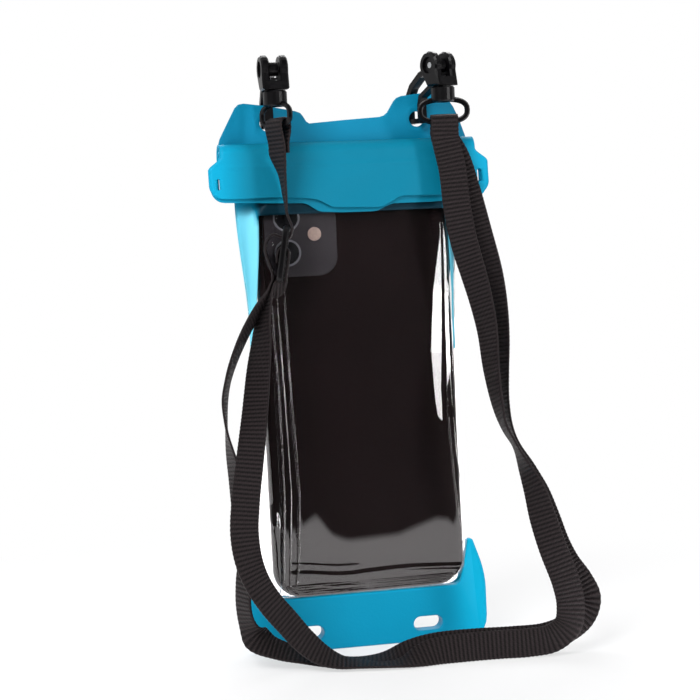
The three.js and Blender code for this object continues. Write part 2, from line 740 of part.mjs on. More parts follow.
// Where a clip's swivel axis stands, from above.
function swivelAxis(name) {
  const side = name === 'left' ? -1 : 1;
  const turn = toRadians(clipTurn[name]);
  return new THREE.Vector2(
    side * holeSpacing / 2 + clipReach * Math.sin(turn),
    panelMiddle - clipReach * Math.cos(turn),
  );
}

// Strap

const sliderFrame = new THREE.Matrix4().makeRotationZ(toRadians(sliderTurn))
  .multiply(new THREE.Matrix4().makeRotationX(toRadians(-sliderTilt)))
  .setPosition(sliderMiddle);

// Three bars between two rails. X is the slider's width, Y its face and Z the strap's way.
function slider() {
  const half = webbingWidth / 2 + 0.5 + sliderRail;
  const frame = roundedPath(mirrored([
    [half, -sliderLength / 2, 2.6],
    [half, sliderLength / 2, 2.6],
  ]));
  const windowBottom = sliderBar / 2;
  const windowTop = sliderLength / 2 - sliderBar;
  for (const side of [-1, 1]) {
    frame.holes.push(roundedPath(mirrored([
      [webbingWidth / 2 + 0.5, side * windowBottom, 0.6],
      [webbingWidth / 2 + 0.5, side * windowTop, 0.6],
    ]), new THREE.Path()));
  }
  const edge = 0.5;
  return toGeometry(toSolid(throughY(frame, -sliderThickness / 2 + edge, sliderThickness / 2 - edge, {
    bevelEnabled: true, bevelThickness: edge, bevelSize: edge, bevelOffset: -edge, bevelSegments: 1,
  })));
}

// A point beside the slider: out from its face, up along the strap, and how far the fold has turned.
function atSlider(out, up, pitch = 0) {
  const point = new THREE.Vector3(0, -out, up).applyMatrix4(sliderFrame);
  return [point.x, point.y, point.z, sliderTurn, pitch + sliderTilt];
}

// A point beside a ring's lower bar: out from its face, above its middle, how far the fold has turned,
// and how far the webbing has slipped along the bar.
function atRing(name, out, up, pitch = 0, slip = 0) {
  const axis = swivelAxis(name);
  const turn = toRadians(ringTurn[name]);
  const x = axis.x + out * Math.sin(turn) - slip * Math.cos(turn) * Math.sign(turn);
  const y = axis.y - out * Math.cos(turn) - slip * Math.sin(turn) * Math.sign(turn);
  return [x, y, holeHeight + ringMiddle - ringHalfHeight + up, ringTurn[name], pitch];
}

// Each point is where the webbing's middle runs, and the way its face looks: turned about Z, then up.
function webbing(stations, stepsBetween) {
  const places = stations.map(([x, y, z]) => new THREE.Vector3(x, y, z));
  const curve = new THREE.CatmullRomCurve3(places, false, 'centripetal');
  const spans = stations.length - 1;
  const count = spans * stepsBetween;
  const positions = [];
  const index = [];
  for (let i = 0; i <= count; i += 1) {
    const at = i / count;
    const span = Math.min(Math.floor(at * spans), spans - 1);
    const part = at * spans - span;
    const mix = (slot) => THREE.MathUtils.lerp(stations[span][slot], stations[span + 1][slot], part);
    const turn = toRadians(mix(3));
    const pitch = toRadians(mix(4));
    const look = new THREE.Vector3(
      Math.sin(turn) * Math.cos(pitch), -Math.cos(turn) * Math.cos(pitch), Math.sin(pitch),
    );
    const tangent = curve.getTangent(at);
    const across = new THREE.Vector3().crossVectors(tangent, look).normalize();
    const face = new THREE.Vector3().crossVectors(across, tangent).normalize();
    const middle = curve.getPoint(at);
    for (const [a, b] of [[-1, -1], [1, -1], [1, 1], [-1, 1]]) {
      positions.push(...middle.clone()
        .addScaledVector(across, a * webbingWidth / 2)
        .addScaledVector(face, b * webbingThickness / 2).toArray());
    }
  }
  for (let i = 0; i < count; i += 1) {
    for (let j = 0; j < 4; j += 1) {
      const a = 4 * i + j;
      const b = 4 * i + (j + 1) % 4;
      index.push(a, b, b + 4, a, b + 4, a + 4);
    }
  }
  const last = 4 * count;
  index.push(0, 2, 1, 0, 3, 2, last, last + 1, last + 2, last, last + 2, last + 3);
  return faceOutward(positions, index);
}

// Plain stations [x, y, z, turn, pitch] of a strap, their heights scaled with the fold's height.
const onRoute = (stations) => stations.map(([x, y, z, turn, pitch]) => [x, y, z * routeScale, turn, pitch]);

// From the sewn loop on the left ring through the slider, down the left side, behind the other strand
// on the ground, and up the right side to the back of the right ring.
const longRun = [
  atRing('left', -0.8, -9.4, 180, 1), atRing('left', -0.9, -6, 180, 1), atRing('left', -1.85, -1.5, 180, 1),
  atRing('left', -2, 0.6, 180, 1), atRing('left', -1.4, 2.2, 150, 1), atRing('left', 0, 2.8, 90, 1),
  atRing('left', 1.4, 2.2, 30, 1), atRing('left', 2, 0.6, 0, 1), atRing('left', 1.85, -1.5, 0, 1),
  atRing('left', 0.9, -6, 0, 1), atRing('left', 0.8, -9.4, 0, 1),
  ...onRoute([[-26.3, -13.9, 174, -86, 0], [-25.7, -14, 166, -94, 4], [-25.2, -13.8, 160, -100, 8]]),
  atSlider(-1.9, 9.8), atSlider(-1.9, 8.2), atSlider(-1.4, 6.2), atSlider(1.3, 4.4), atSlider(3, 2.4),
  atSlider(3.4, 0), atSlider(2.7, -6), atSlider(2.4, -10.5),
  ...onRoute([
    [-33.3, -15, 131.2, -104, 0], [-37.2, -16.2, 127, -106, 0], [-42, -18, 120.4, -107, 0],
    [-46.6, -20, 112.2, -108, 0], [-50, -21, 104, -108, 0], [-51.9, -21, 95.6, -108, 0],
    [-52.1, -22, 86.9, -100, 0], [-51.2, -22, 78, -84, 0], [-49.7, -22.6, 67.4, -70, 0],
    [-48.6, -23, 55.1, -62, 0], [-48.3, -23.4, 42.8, -60, 0], [-48.4, -23.6, 30.4, -56, 0],
    [-48, -23.6, 22, -48, 2], [-46, -23.8, 14.6, -36, 6], [-42.4, -24.4, 9.6, -26, 10],
    [-36.6, -25.4, 6.4, -18, 20], [-29.6, -26.6, 4.9, -14, 40], [-21, -28.4, 2.2, -12, 72],
    [-12, -30.4, 1.1, -12, 86], [-2, -32.6, 1.7, -10, 80], [8, -34.4, 3.9, -8, 52],
    [20, -36, 5, -6, 20], [32, -37.2, 5.2, -6, 12], [44, -39, 5.2, -6, 12],
    [56, -40, 5.6, 0, 12], [64.6, -39.6, 8, 6, 12], [71, -38, 12, 4, 8],
    [73.4, -36, 17.4, -8, 4], [71.4, -34, 23.4, -18, 0], [67.4, -32, 30, -24, 0],
    [64.6, -30, 37, -30, 0], [62.5, -28, 45.3, -38, 0], [59.9, -26, 55.4, -54, 0],
    [57, -25, 64, -76, 0], [53.6, -23.6, 72.8, -96, 0], [50.8, -22.8, 80, -92, 0],
    [49.2, -21.6, 88, -78, 0], [49.4, -19.2, 99, -66, 0], [50.4, -17, 110.9, -60, 0],
    [50.3, -15.6, 121.8, -52, 0], [48.8, -14.4, 134.6, -38, 0], [45.6, -13.2, 149.4, -22, 0],
    [41.9, -12.2, 166, -14, 0], [38.6, -11.4, 178, -11, 0],
  ]),
  atRing('right', -1.85, -5), atRing('right', -1.85, -0.5),
];

// From the slider's middle bar down the left side, in front on the ground, and up the right side,
// over the right ring's lower bar.
const returnRun = [
  atSlider(1.8, -3.4), atSlider(2, -0.6), atSlider(1.5, 1.6, 45), atSlider(0, 2.3, 90),
  atSlider(-1.5, 1.6, 135), atSlider(-2, -0.6, 180), atSlider(-1.9, -8.2, 180),
  atSlider(-2, -10.5, 180),
  ...onRoute([
    [-30.4, -15, 128, -96, 180], [-34.2, -16.6, 119, -82, 180], [-37.6, -18.6, 110.6, -68, 180],
    [-39.6, -20.6, 101.9, -55, 180], [-41.6, -23, 89.8, -40, 180], [-43.9, -28.6, 79.5, -30, 180],
    [-46.4, -31.6, 67.5, -24, 180], [-47.2, -32.2, 56.3, -20, 180], [-46.7, -33.6, 45.3, -18, 180],
    [-44.4, -34.6, 36, -16, 180], [-41, -35, 27.6, -14, 182], [-36.4, -35.2, 20.4, -12, 186],
    [-31.6, -35, 14.4, -12, 194], [-26, -34.6, 9.4, -12, 206], [-19.4, -34.6, 6, -12, 222],
    [-12, -36.2, 4.2, -12, 230], [-4, -38.4, 3.9, -12, 230], [5, -40, 4.2, -10, 224],
    [15, -40.8, 4.6, -8, 214], [26, -42.2, 4.7, -6, 212], [38, -43.8, 4.7, -6, 212],
    [49, -46, 5.6, -6, 208], [57, -48, 9, -4, 200], [61.4, -49, 14.6, -6, 192],
    [62.2, -49, 22, -12, 184], [60.4, -48, 30, -16, 180],
    [58, -46.2, 38.1, -24, 180], [55.9, -43.4, 47.8, -36, 180], [54, -40.4, 58.3, -58, 180],
    [51.6, -38, 66, -82, 180], [48.8, -36, 74.3, -100, 180], [46, -33.8, 80.6, -98, 180],
    [44.6, -31.6, 88, -86, 180], [43.6, -28.6, 101, -72, 180], [43.4, -26, 115.2, -60, 180],
    [42.2, -23.6, 126, -50, 180], [40.4, -21.6, 135.6, -40, 180], [38, -19.4, 147.1, -28, 180],
    [36.4, -17.6, 160.6, -18, 180], [35.8, -16.2, 173.3, -12, 180],
  ]),
  atRing('right', 1.9, -6, 180), atRing('right', 1.85, -1.5, 180), atRing('right', 1.9, 0.6, 180),
  atRing('right', 1.3, 1.9, 210), atRing('right', 0, 2.4, 270), atRing('right', -1.3, 1.9, 330),
  atRing('right', -1.9, 0.6, 360), atRing('right', -1.85, 0.1, 360),
];

// Assembly

const pouch = new THREE.Group();

function addPiece(parent, name, geometry, finish) {
  const piece = new THREE.Mesh(geometry, new THREE.MeshStandardMaterial(finishes[finish]));
  piece.name = name;
  parent.add(piece);
  return piece;
}

addPiece(pouch, 'bottom_band', bottomBand(), 'blueBand');
addPiece(pouch, 'front_film', film(-1), 'clearFilm');
addPiece(pouch, 'back_film', film(1), 'clearFilm');
addPiece(pouch, 'front_border', frontBorder(), 'blueSheet');
addPiece(pouch, 'back_border', backBorder(), 'blueSheet');
addPiece(pouch, 'hang_panel', hangPanel(), 'blueSheet');
addPiece(pouch, 'zip_rib_strip', zipStrip('rib'), 'zip');
addPiece(pouch, 'zip_groove_strip', zipStrip('groove'), 'zip');
addPiece(pouch, 'hook_strip', closureStrip(borderOuter + fitGap), 'strip');
addPiece(pouch, 'loop_strip', closureStrip(borderOuter + 2 * fitGap + stripThickness), 'strip');
addPiece(pouch, 'phone', phone(), 'phone');

for (const name of ['left', 'right']) {
  const clip = clipPlace(name);
  addPiece(clip, `clip_body_${name}`, clipBody(), 'clip');
  addPiece(clip, `clip_jaw_${name}`, clipJaw(), 'clip');
  addPiece(clip, `clip_pin_${name}`, clipPin(), 'steel');
  addPiece(clip, `clip_spring_${name}`, clipSpring(), 'steel');
  const ring = new THREE.Group();
  ring.position.set(0, -clipReach, 0);
  ring.rotation.z = toRadians(ringTurn[name] - clipTurn[name]);
  addPiece(ring, `swivel_ring_${name}`, swivelRing(), 'clip');
  clip.add(ring);
  pouch.add(clip);
}

const sliderGroup = new THREE.Group();
sliderGroup.applyMatrix4(sliderFrame);
addPiece(sliderGroup, 'strap_slider', slider(), 'clip');
pouch.add(sliderGroup);

addPiece(pouch, 'strap_long', webbing(longRun, 2), 'webbing');
addPiece(pouch, 'strap_return', webbing(returnRun, 2), 'webbing');

export default pouch;
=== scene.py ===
import bmesh
import bpy
import numpy as np
from mathutils import Matrix, Vector


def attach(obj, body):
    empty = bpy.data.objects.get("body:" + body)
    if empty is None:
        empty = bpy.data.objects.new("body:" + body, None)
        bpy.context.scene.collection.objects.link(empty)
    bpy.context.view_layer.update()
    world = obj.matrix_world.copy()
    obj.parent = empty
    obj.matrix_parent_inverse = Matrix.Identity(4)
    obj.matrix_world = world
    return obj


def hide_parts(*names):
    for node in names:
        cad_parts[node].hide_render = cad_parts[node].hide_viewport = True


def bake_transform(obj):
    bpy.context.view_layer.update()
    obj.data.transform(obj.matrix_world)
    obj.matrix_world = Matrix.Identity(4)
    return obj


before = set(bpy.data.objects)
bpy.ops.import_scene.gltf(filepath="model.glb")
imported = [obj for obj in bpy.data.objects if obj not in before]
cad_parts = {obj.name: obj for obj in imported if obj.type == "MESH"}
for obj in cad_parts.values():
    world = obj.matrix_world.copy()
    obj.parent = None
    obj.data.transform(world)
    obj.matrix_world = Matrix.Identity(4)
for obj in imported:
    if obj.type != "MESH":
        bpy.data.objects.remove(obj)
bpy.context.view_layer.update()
mm = 0.001  # shapes are worked out in millimetres, and written to meshes in metres
print("stage: frame loaded")


# Small tools

def smooth(start, end, value):
    # 0 before start, 1 after end, and an S-curve between: t squared times (3 - 2 t)
    t = np.clip((value - start) / (end - start), 0, 1)
    return t * t * (3 - 2 * t)


def bump(middle, width, value):
    # a bell of height 1: e to the minus square of the distance over the width
    return np.exp(-(((value - middle) / width) ** 2))


def link(thing):
    bpy.context.scene.collection.objects.link(thing)


def writeMesh(name, points, faces, uv=None, shades=None):
    # points in millimetres; uv and shades hold one value for each point
    mesh = bpy.data.meshes.new(name)
    mesh.vertices.add(len(points))
    mesh.vertices.foreach_set("co", (np.asarray(points, float) * mm).ravel())
    faces = [np.asarray(block) for block in faces]
    sizes = np.concatenate([np.full(len(block), block.shape[1]) for block in faces])
    corners = np.concatenate([block.ravel() for block in faces]).astype(np.int32)
    mesh.loops.add(len(corners))
    mesh.loops.foreach_set("vertex_index", corners)
    mesh.polygons.add(len(sizes))
    mesh.polygons.foreach_set("loop_start", np.concatenate([[0], np.cumsum(sizes)[:-1]]).astype(np.int32))
    mesh.polygons.foreach_set("use_smooth", np.full(len(sizes), True))
    mesh.update(calc_edges=True)
    if uv is not None:
        layer = mesh.uv_layers.new(name="weave")
        layer.data.foreach_set("uv", np.asarray(uv, float)[corners].astype(np.float32).ravel())
    if shades is not None:
        attribute = mesh.attributes.new("shade", "FLOAT", "POINT")
        attribute.data.foreach_set("value", np.asarray(shades, np.float32).ravel())
    turned = bmesh.new()
    turned.from_mesh(mesh)
    bmesh.ops.recalc_face_normals(turned, faces=turned.faces)
    turned.to_mesh(mesh)
    turned.free()
    piece = bpy.data.objects.new(name, mesh)
    link(piece)
    return piece


def gridFaces(rows, columns, start=0, closed=False):
    # quads between neighbours of a grid of points; closed joins the last column to the first
    row = np.arange(rows - 1)[:, None] * columns
    column = np.arange(columns if closed else columns - 1)[None, :]
    after = (column + 1) % columns
    quads = np.stack([row + column, row + columns + column, row + columns + after, row + after], -1)
    return quads.reshape(-1, 4) + start


def tubeMesh(name, rings, uv=None):
    # rings of points, joined in order and closed by a flat face at each end
    count, around = rings.shape[:2]
    cap = np.arange(around)
    faces = [gridFaces(count, around, closed=True), np.stack([cap, cap + (count - 1) * around])]
    return writeMesh(name, rings.reshape(-1, 3), faces, uv)


def shellParts(outer, inner):
    # two grids of the same size joined at their rims into one closed shell
    rows, columns = outer.shape[:2]
    count = rows * columns
    points = np.concatenate([outer.reshape(-1, 3), inner.reshape(-1, 3)])
    index = np.arange(count).reshape(rows, columns)
    rim = np.concatenate([index[0], index[1:, -1], index[-1, ::-1][1:], index[::-1, 0][1:-1]])
    nextRim = np.roll(rim, -1)
    edge = np.stack([rim, nextRim, nextRim + count, rim + count], -1)
    return points, [gridFaces(rows, columns), gridFaces(rows, columns, count), edge]


def cutShell(name, outer, inner, keep, shades=None):
    # a closed shell between two grids over the cells to keep, with a wall along each open edge
    index = np.arange(outer.shape[0] * outer.shape[1]).reshape(outer.shape[:2])
    count = index.size
    a, b, c, d = index[:-1, :-1], index[1:, :-1], index[1:, 1:], index[:-1, 1:]
    padded = np.pad(keep, 1)
    quads = np.stack([a, b, c, d], -1)[keep]
    faces = [quads, quads + count]
    for first, second, neighbour in ((a, b, padded[1:-1, :-2]), (b, c, padded[2:, 1:-1]),
                                     (c, d, padded[1:-1, 2:]), (d, a, padded[:-2, 1:-1])):
        rim = keep & ~neighbour
        faces.append(np.stack([first[rim], second[rim], second[rim] + count, first[rim] + count], -1))
    used = np.unique(np.concatenate([block.ravel() for block in faces]))
    renumber = np.zeros(2 * count, int)
    renumber[used] = np.arange(len(used))
    points = np.concatenate([outer.reshape(-1, 3), inner.reshape(-1, 3)])[used]
    shades = None if shades is None else np.tile(np.ravel(shades), 2)[used]
    return writeMesh(name, points, [renumber[block] for block in faces], shades=shades)


def cutHoles(piece, places, radius, depth, halfHeight=0.0, around=32):
    # round holes, or upright slots with round ends, cut along Y
    turn = np.linspace(0, 2 * np.pi, around, endpoint=False)
    rise = np.sin(turn) * radius + np.sign(np.sin(turn)) * halfHeight
    for x, y, z in places:
        ring = np.stack([x + np.cos(turn) * radius, 0 * turn, z + rise], -1)
        cutter = tubeMesh("cutter", np.stack([ring + [0, y - depth, 0], ring + [0, y + depth, 0]]))
        addModifier(piece, "BOOLEAN", operation="DIFFERENCE", solver="EXACT", object=cutter)
        applyModifiers(piece)
        bpy.data.objects.remove(cutter)


def useMaterial(piece, material):
    piece.data.materials.clear()
    piece.data.materials.append(material)


def addModifier(piece, kind, **settings):
    modifier = piece.modifiers.new(kind.title(), kind)
    for key, value in settings.items():
        setattr(modifier, key, value)
    return modifier


def applyModifiers(piece):
    bpy.context.view_layer.update()
    done = bpy.data.meshes.new_from_object(piece.evaluated_get(bpy.context.evaluated_depsgraph_get()))
    piece.modifiers.clear()
    piece.data = done


# Camera

cameraPlace = {
    "azimuth": -12, "elevation": 3, "roll": -2.7, "distance": 0.68,
    "target": (-0.00175, 0, 0.1095), "lens": 95.14, "sensor": 36,
}


def addCamera(place):
    az, el, roll = (np.radians(place[key]) for key in ("azimuth", "elevation", "roll"))
    back = np.array([np.sin(az) * np.cos(el), -np.cos(az) * np.cos(el), np.sin(el)])
    level = np.cross(-back, (0, 0, 1))
    level /= np.linalg.norm(level)
    above = np.cross(level, -back)
    right = level * np.cos(roll) + above * np.sin(roll)
    up = above * np.cos(roll) - level * np.sin(roll)
    camera = bpy.data.objects.new("camera", bpy.data.cameras.new("camera"))
    camera.data.sensor_width = place["sensor"]
    camera.data.lens = place["lens"]
    spot = np.array(place["target"]) + back * place["distance"]
    matrix = np.eye(4)
    matrix[:3] = np.stack([right, up, back, spot], -1)
    camera.matrix_world = Matrix(matrix.tolist())
    link(camera)
    bpy.context.scene.camera = camera


addCamera(cameraPlace)
print("stage: camera")


# Strap routes, as in the part's source: a point is x, y, z, the way its face looks about Z, and its tilt

pouch = {
    "phoneWidth": 71.5, "phoneHeight": 146.7, "phoneCorner": 10, "phoneFace": 3.9, "phoneBottom": 20.5,
    "phoneShift": 1.1, "phoneLean": 0.4, "mouthHalf": 1.55, "foldSpring": 181.45, "holeSpacing": 56,
    "holeHeight": 193.4, "panelBottom": 172, "panelMiddle": 3.25, "panelThickness": 1.2,
}
clipTurns = {"left": 2, "right": 24}
ringTurns = {"left": -65, "right": -10}
clipReach = 16.4
ringBar = {"middle": 1.6, "halfHeight": 4.1}
sliderPlace = {"middle": (-27.2, -13.5, 145.8), "turn": -102, "tilt": 10}
webbing = {
    "width": 10, "thickness": 1, "stepsBetween": 30, "around": 24, "scallop": 0.012,
    "ribPitch": 1.5, "warpPitch": 0.62, "twillPitch": 1.9,
}


def swivelAxis(name):
    side = -1 if name == "left" else 1
    turn = np.radians(clipTurns[name])
    return (side * pouch["holeSpacing"] / 2 + clipReach * np.sin(turn),
            pouch["panelMiddle"] - clipReach * np.cos(turn))


def atRing(name, out, up, pitch=0, slip=0):
    x, y = swivelAxis(name)
    turn = np.radians(ringTurns[name])
    sign = np.sign(turn)
    bar = pouch["holeHeight"] + ringBar["middle"] - ringBar["halfHeight"]
    return [x + out * np.sin(turn) - slip * np.cos(turn) * sign,
            y - out * np.cos(turn) - slip * np.sin(turn) * sign, bar + up, ringTurns[name], pitch]


def atSlider(out, up, pitch=0):
    turn = np.radians(sliderPlace["turn"])
    tilt = np.radians(sliderPlace["tilt"])
    face = np.array([np.sin(turn) * np.cos(tilt), -np.cos(turn) * np.cos(tilt), np.sin(tilt)])
    along = np.array([-np.sin(turn) * np.sin(tilt), np.cos(turn) * np.sin(tilt), np.cos(tilt)])
    place = np.array(sliderPlace["middle"]) + face * out + along * up
    return [*place, sliderPlace["turn"], pitch + sliderPlace["tilt"]]


longRoute = [
    atRing("left", -0.8, -9.4, 180, 1), atRing("left", -0.9, -6, 180, 1),
    atRing("left", -1.85, -1.5, 180, 1), atRing("left", -2, 0.6, 180, 1),
    atRing("left", -1.4, 2.2, 150, 1), atRing("left", 0, 2.8, 90, 1), atRing("left", 1.4, 2.2, 30, 1),
    atRing("left", 2, 0.6, 0, 1), atRing("left", 1.85, -1.5, 0, 1), atRing("left", 0.9, -6, 0, 1),
    atRing("left", 0.8, -9.4, 0, 1), [-26.3, -13.9, 174, -86, 0], [-25.7, -14, 166, -94, 4],
    [-25.2, -13.8, 160, -100, 8], atSlider(-1.9, 9.8), atSlider(-1.9, 8.2), atSlider(-1.4, 6.2),
    atSlider(1.5, 6), atSlider(4.6, 6.4, 50), atSlider(6.4, 4, 12), atSlider(6.5, 0.5),
    atSlider(4.2, -4.5), atSlider(2.7, -8), atSlider(2.4, -10.5), [-33.3, -15, 131.2, -104, 0],
    [-37.2, -16.2, 127, -106, 0], [-42, -18, 120.4, -107, 0], [-46.6, -20, 112.2, -108, 0],
    [-50, -21, 104, -108, 0], [-51.9, -21, 95.6, -108, 0], [-52.1, -22, 86.9, -100, 0],
    [-51.2, -22, 78, -84, 0], [-49.7, -22.6, 67.4, -70, 0], [-48.6, -23, 55.1, -62, 0],
    [-47.4, -23.6, 39, -60, 0], [-48.9, -23.6, 30.2, -66, 0], [-49.4, -23.6, 23.2, -68, 4],
    [-48.6, -23.8, 17.2, -66, 14], [-46.4, -24, 12.3, -58, 32], [-42.2, -24.6, 8.7, -44, 50],
    [-36.9, -25.4, 6.1, -28, 62], [-30.8, -27, 4.1, -18, 72], [-20.4, -29, 1.8, -12, 76],
    [-12, -30.6, 1.1, -12, 86], [-2, -32.6, 1.7, -10, 80], [8, -34.4, 3.9, -8, 52], [20, -36, 5, -6, 20],
    [32, -37.2, 5.2, -6, 12], [44, -39, 5.2, -6, 12], [56, -40, 5.6, 0, 12], [64.6, -39.6, 8, 6, 12],
    [71, -38, 12, 4, 8], [73.4, -36, 17.4, -8, 4], [71.4, -34, 23.4, -18, 0], [67.4, -32, 30, -24, 0],
    [64.6, -30, 37, -30, 0], [62.5, -28, 45.3, -38, 0], [59.9, -26, 55.4, -54, 0], [57, -25, 64, -76, 0],
    [53.6, -23.6, 72.8, -96, 0], [50.8, -22.8, 80, -92, 0], [49.2, -21.6, 88, -78, 0],
    [49.4, -19.2, 99, -66, 0], [50.4, -17, 110.9, -60, 0], [50.3, -15.6, 121.8, -52, 0],
    [48.8, -14.4, 134.6, -38, 0], [45.6, -13.2, 149.4, -22, 0], [41.9, -12.2, 166, -14, 0],
    [38.6, -11.4, 178, -11, 0], atRing("right", -1.85, -5), atRing("right", -1.85, -0.5),
]
returnRoute = [
    atSlider(1.8, -3.4), atSlider(2, -0.6), atSlider(1.5, 1.6, 45), atSlider(0, 2.3, 90),
    atSlider(-1.5, 1.6, 135), atSlider(-2, -0.6, 180), atSlider(-1.9, -8.2, 180),
    atSlider(-2, -10.5, 180), [-32.4, -14.8, 132.5, -92, 180], [-34.8, -15.6, 127.7, -78, 180],
    [-36.6, -16.8, 121.4, -66, 180], [-37.7, -18.4, 114.1, -54, 180], [-39.4, -20.4, 105.4, -44, 180],
    [-41.2, -23, 95.1, -36, 180], [-43.4, -27, 84.6, -30, 180], [-45.8, -30, 73, -24, 180],
    [-48, -32, 61, -18, 180], [-49.2, -33.4, 50, -6, 180], [-48.4, -34.6, 40.6, 10, 180],
    [-45.8, -35, 32.6, 22, 182], [-41.6, -35.2, 25.2, 26, 185], [-36, -35.2, 18, 24, 191],
    [-30.6, -35.2, 11.2, 18, 208], [-24.6, -35.6, 5.8, 8, 232], [-18.4, -36.6, 2.8, -4, 254],
    [-11.6, -38, 1.7, -12, 266], [-4, -40, 1.1, -12, 272], [3, -41.2, 1.5, -10, 264],
    [9, -41.8, 3.2, -9, 238], [15, -42, 4.5, -8, 214], [26, -42.6, 5, -6, 196], [38, -44, 5.2, -6, 188],
    [48, -45.6, 5.3, -6, 186], [56.5, -47.2, 6.6, -5, 185], [61.6, -48.4, 11, -7, 184],
    [62.8, -48.8, 18, -10, 182], [61.6, -48.4, 26, -14, 180], [58, -46.2, 38.1, -24, 180],
    [55.9, -43.4, 47.8, -36, 180], [54, -40.4, 58.3, -58, 180], [51.6, -38, 66, -82, 180],
    [48.8, -36, 74.3, -100, 180], [46, -33.8, 80.6, -98, 180], [44.6, -31.6, 88, -86, 180],
    [43.6, -28.6, 101, -72, 180], [43.4, -26, 115.2, -60, 180], [42.2, -23.6, 126, -50, 180],
    [40.4, -21.6, 135.6, -40, 180], [38, -19.4, 147.1, -28, 180], [36.4, -17.6, 160.6, -18, 180],
    [35.8, -16.2, 173.3, -12, 180], atRing("right", 1.9, -6, 180), atRing("right", 1.85, -1.5, 180),
    atRing("right", 1.9, 0.6, 180), atRing("right", 1.3, 1.9, 210), atRing("right", 0, 2.4, 270),
    atRing("right", -1.3, 1.9, 330), atRing("right", -1.9, 0.6, 360), atRing("right", -1.85, 0.1, 360),
]


def smoothRoute(stations, steps):
    # centripetal Catmull-Rom through the stations: each span is a cubic whose end slopes come from its
    # neighbours, with knots spaced by the square root of the distance; the angles follow the same spans
    stations = np.array(stations, float)
    padded = np.concatenate([[2 * stations[0] - stations[1]], stations, [2 * stations[-1] - stations[-2]]])
    p0, p1, p2, p3 = (padded[k:len(padded) - 3 + k, None, :] for k in range(4))

    def knot(a, b):
        return np.sqrt(np.linalg.norm((b - a)[..., :3], axis=-1, keepdims=True))

    d0, d1, d2 = knot(p0, p1), knot(p1, p2), knot(p2, p3)
    slopeA = ((p1 - p0) / d0 - (p2 - p0) / (d0 + d1) + (p2 - p1) / d1) * d1
    slopeB = ((p2 - p1) / d1 - (p3 - p1) / (d1 + d2) + (p3 - p2) / d2) * d1
    t = (np.arange(steps) / steps)[None, :, None]
    cubic = (p1 + slopeA * t + (3 * (p2 - p1) - 2 * slopeA - slopeB) * t ** 2
             + (2 * (p1 - p2) + slopeA + slopeB) * t ** 3)
    return np.concatenate([cubic.reshape(-1, stations.shape[1]), stations[-1:]])


def ribbonFrame(route):
    # the middle line, the direction across the width, the face's normal and the length so far
    middle = route[:, :3]
    turn, pitch = np.radians(route[:, 3]), np.radians(route[:, 4])
    look = np.stack([np.sin(turn) * np.cos(pitch), -np.cos(turn) * np.cos(pitch), np.sin(pitch)], -1)
    tangent = np.gradient(middle, axis=0)
    tangent /= np.linalg.norm(tangent, axis=1, keepdims=True)
    across = np.cross(tangent, look)
    across /= np.linalg.norm(across, axis=1, keepdims=True)
    face = np.cross(across, tangent)
    length = np.concatenate([[0], np.cumsum(np.linalg.norm(np.diff(middle, axis=0), axis=1))])
    return middle, across, face, length


def ribbonMesh(name, route, first, last):
    # a flat loop with soft edges, carried along the route: half-width w and half-thickness h shape it as
    # x = w sign(cos) |cos|^0.45 and y = h sign(sin) |sin|^0.35, with edges that swell a little at each rib
    middle, across, face, length = (part[first:last + 1] for part in ribbonFrame(route))
    angle = 2 * np.pi * (np.arange(webbing["around"]) + 0.5) / webbing["around"]
    x = webbing["width"] / 2 * np.sign(np.cos(angle)) * np.abs(np.cos(angle)) ** 0.45
    y = webbing["thickness"] / 2 * np.sign(np.sin(angle)) * np.abs(np.sin(angle)) ** 0.35
    scallop = 1 + webbing["scallop"] * np.cos(2 * np.pi * length / webbing["ribPitch"])
    rings = (middle[:, None] + across[:, None] * (x[None, :] * scallop[:, None])[..., None]
             + face[:, None] * y[None, :, None])
    uv = np.stack(np.broadcast_arrays(x[None, :], length[:, None]), -1).reshape(-1, 2)
    return tubeMesh(name, rings, uv)


steps = webbing["stepsBetween"]
longLine = smoothRoute(longRoute, steps)
returnLine = smoothRoute(returnRoute, steps)
# the points where the loose runs begin and end: the spans past them are sewn round the rings
cuts = {"longStart": 12 * steps, "longEnd": len(longLine) - 1 - 3 * steps,
        "returnEnd": len(returnLine) - 1 - 8 * steps}
strapLong = ribbonMesh("strap_long_webbing", longLine, cuts["longStart"], cuts["longEnd"])
strapReturn = ribbonMesh("strap_return_webbing", returnLine, 0, cuts["returnEnd"])
leftLoop = ribbonMesh("strap_loop_left", longLine, 0, cuts["longStart"])
rightLoop = ribbonMesh("strap_loop_right", returnLine, cuts["returnEnd"], len(returnLine) - 1)
rightEnd = ribbonMesh("strap_end_right", longLine, cuts["longEnd"], len(longLine) - 1)
for piece in (strapLong, strapReturn):
    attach(piece, "pouch")
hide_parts("strap_long")
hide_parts("strap_return")


ringEnds = ((leftLoop, "ring_left", atRing("left", 0, -2), longLine[cuts["longStart"]]),
            (rightLoop, "ring_right", atRing("right", 0, -2), returnLine[cuts["returnEnd"]]),
            (rightEnd, "ring_right", atRing("right", 0, -2), longLine[cuts["longEnd"]]))
print("stage: straps")


# Materials

def newTree(name):
    material = bpy.data.materials.new(name)
    material.use_nodes = True
    tree = material.node_tree
    tree.nodes.clear()
    return material, tree


def node(tree, kind, inputs=None, **settings):
    made = tree.nodes.new(kind)
    for key, value in settings.items():
        setattr(made, key, value)
    for key, value in (inputs or {}).items():
        if isinstance(value, bpy.types.NodeSocket):
            tree.links.new(value, made.inputs[key])
        else:
            made.inputs[key].default_value = value
    return made


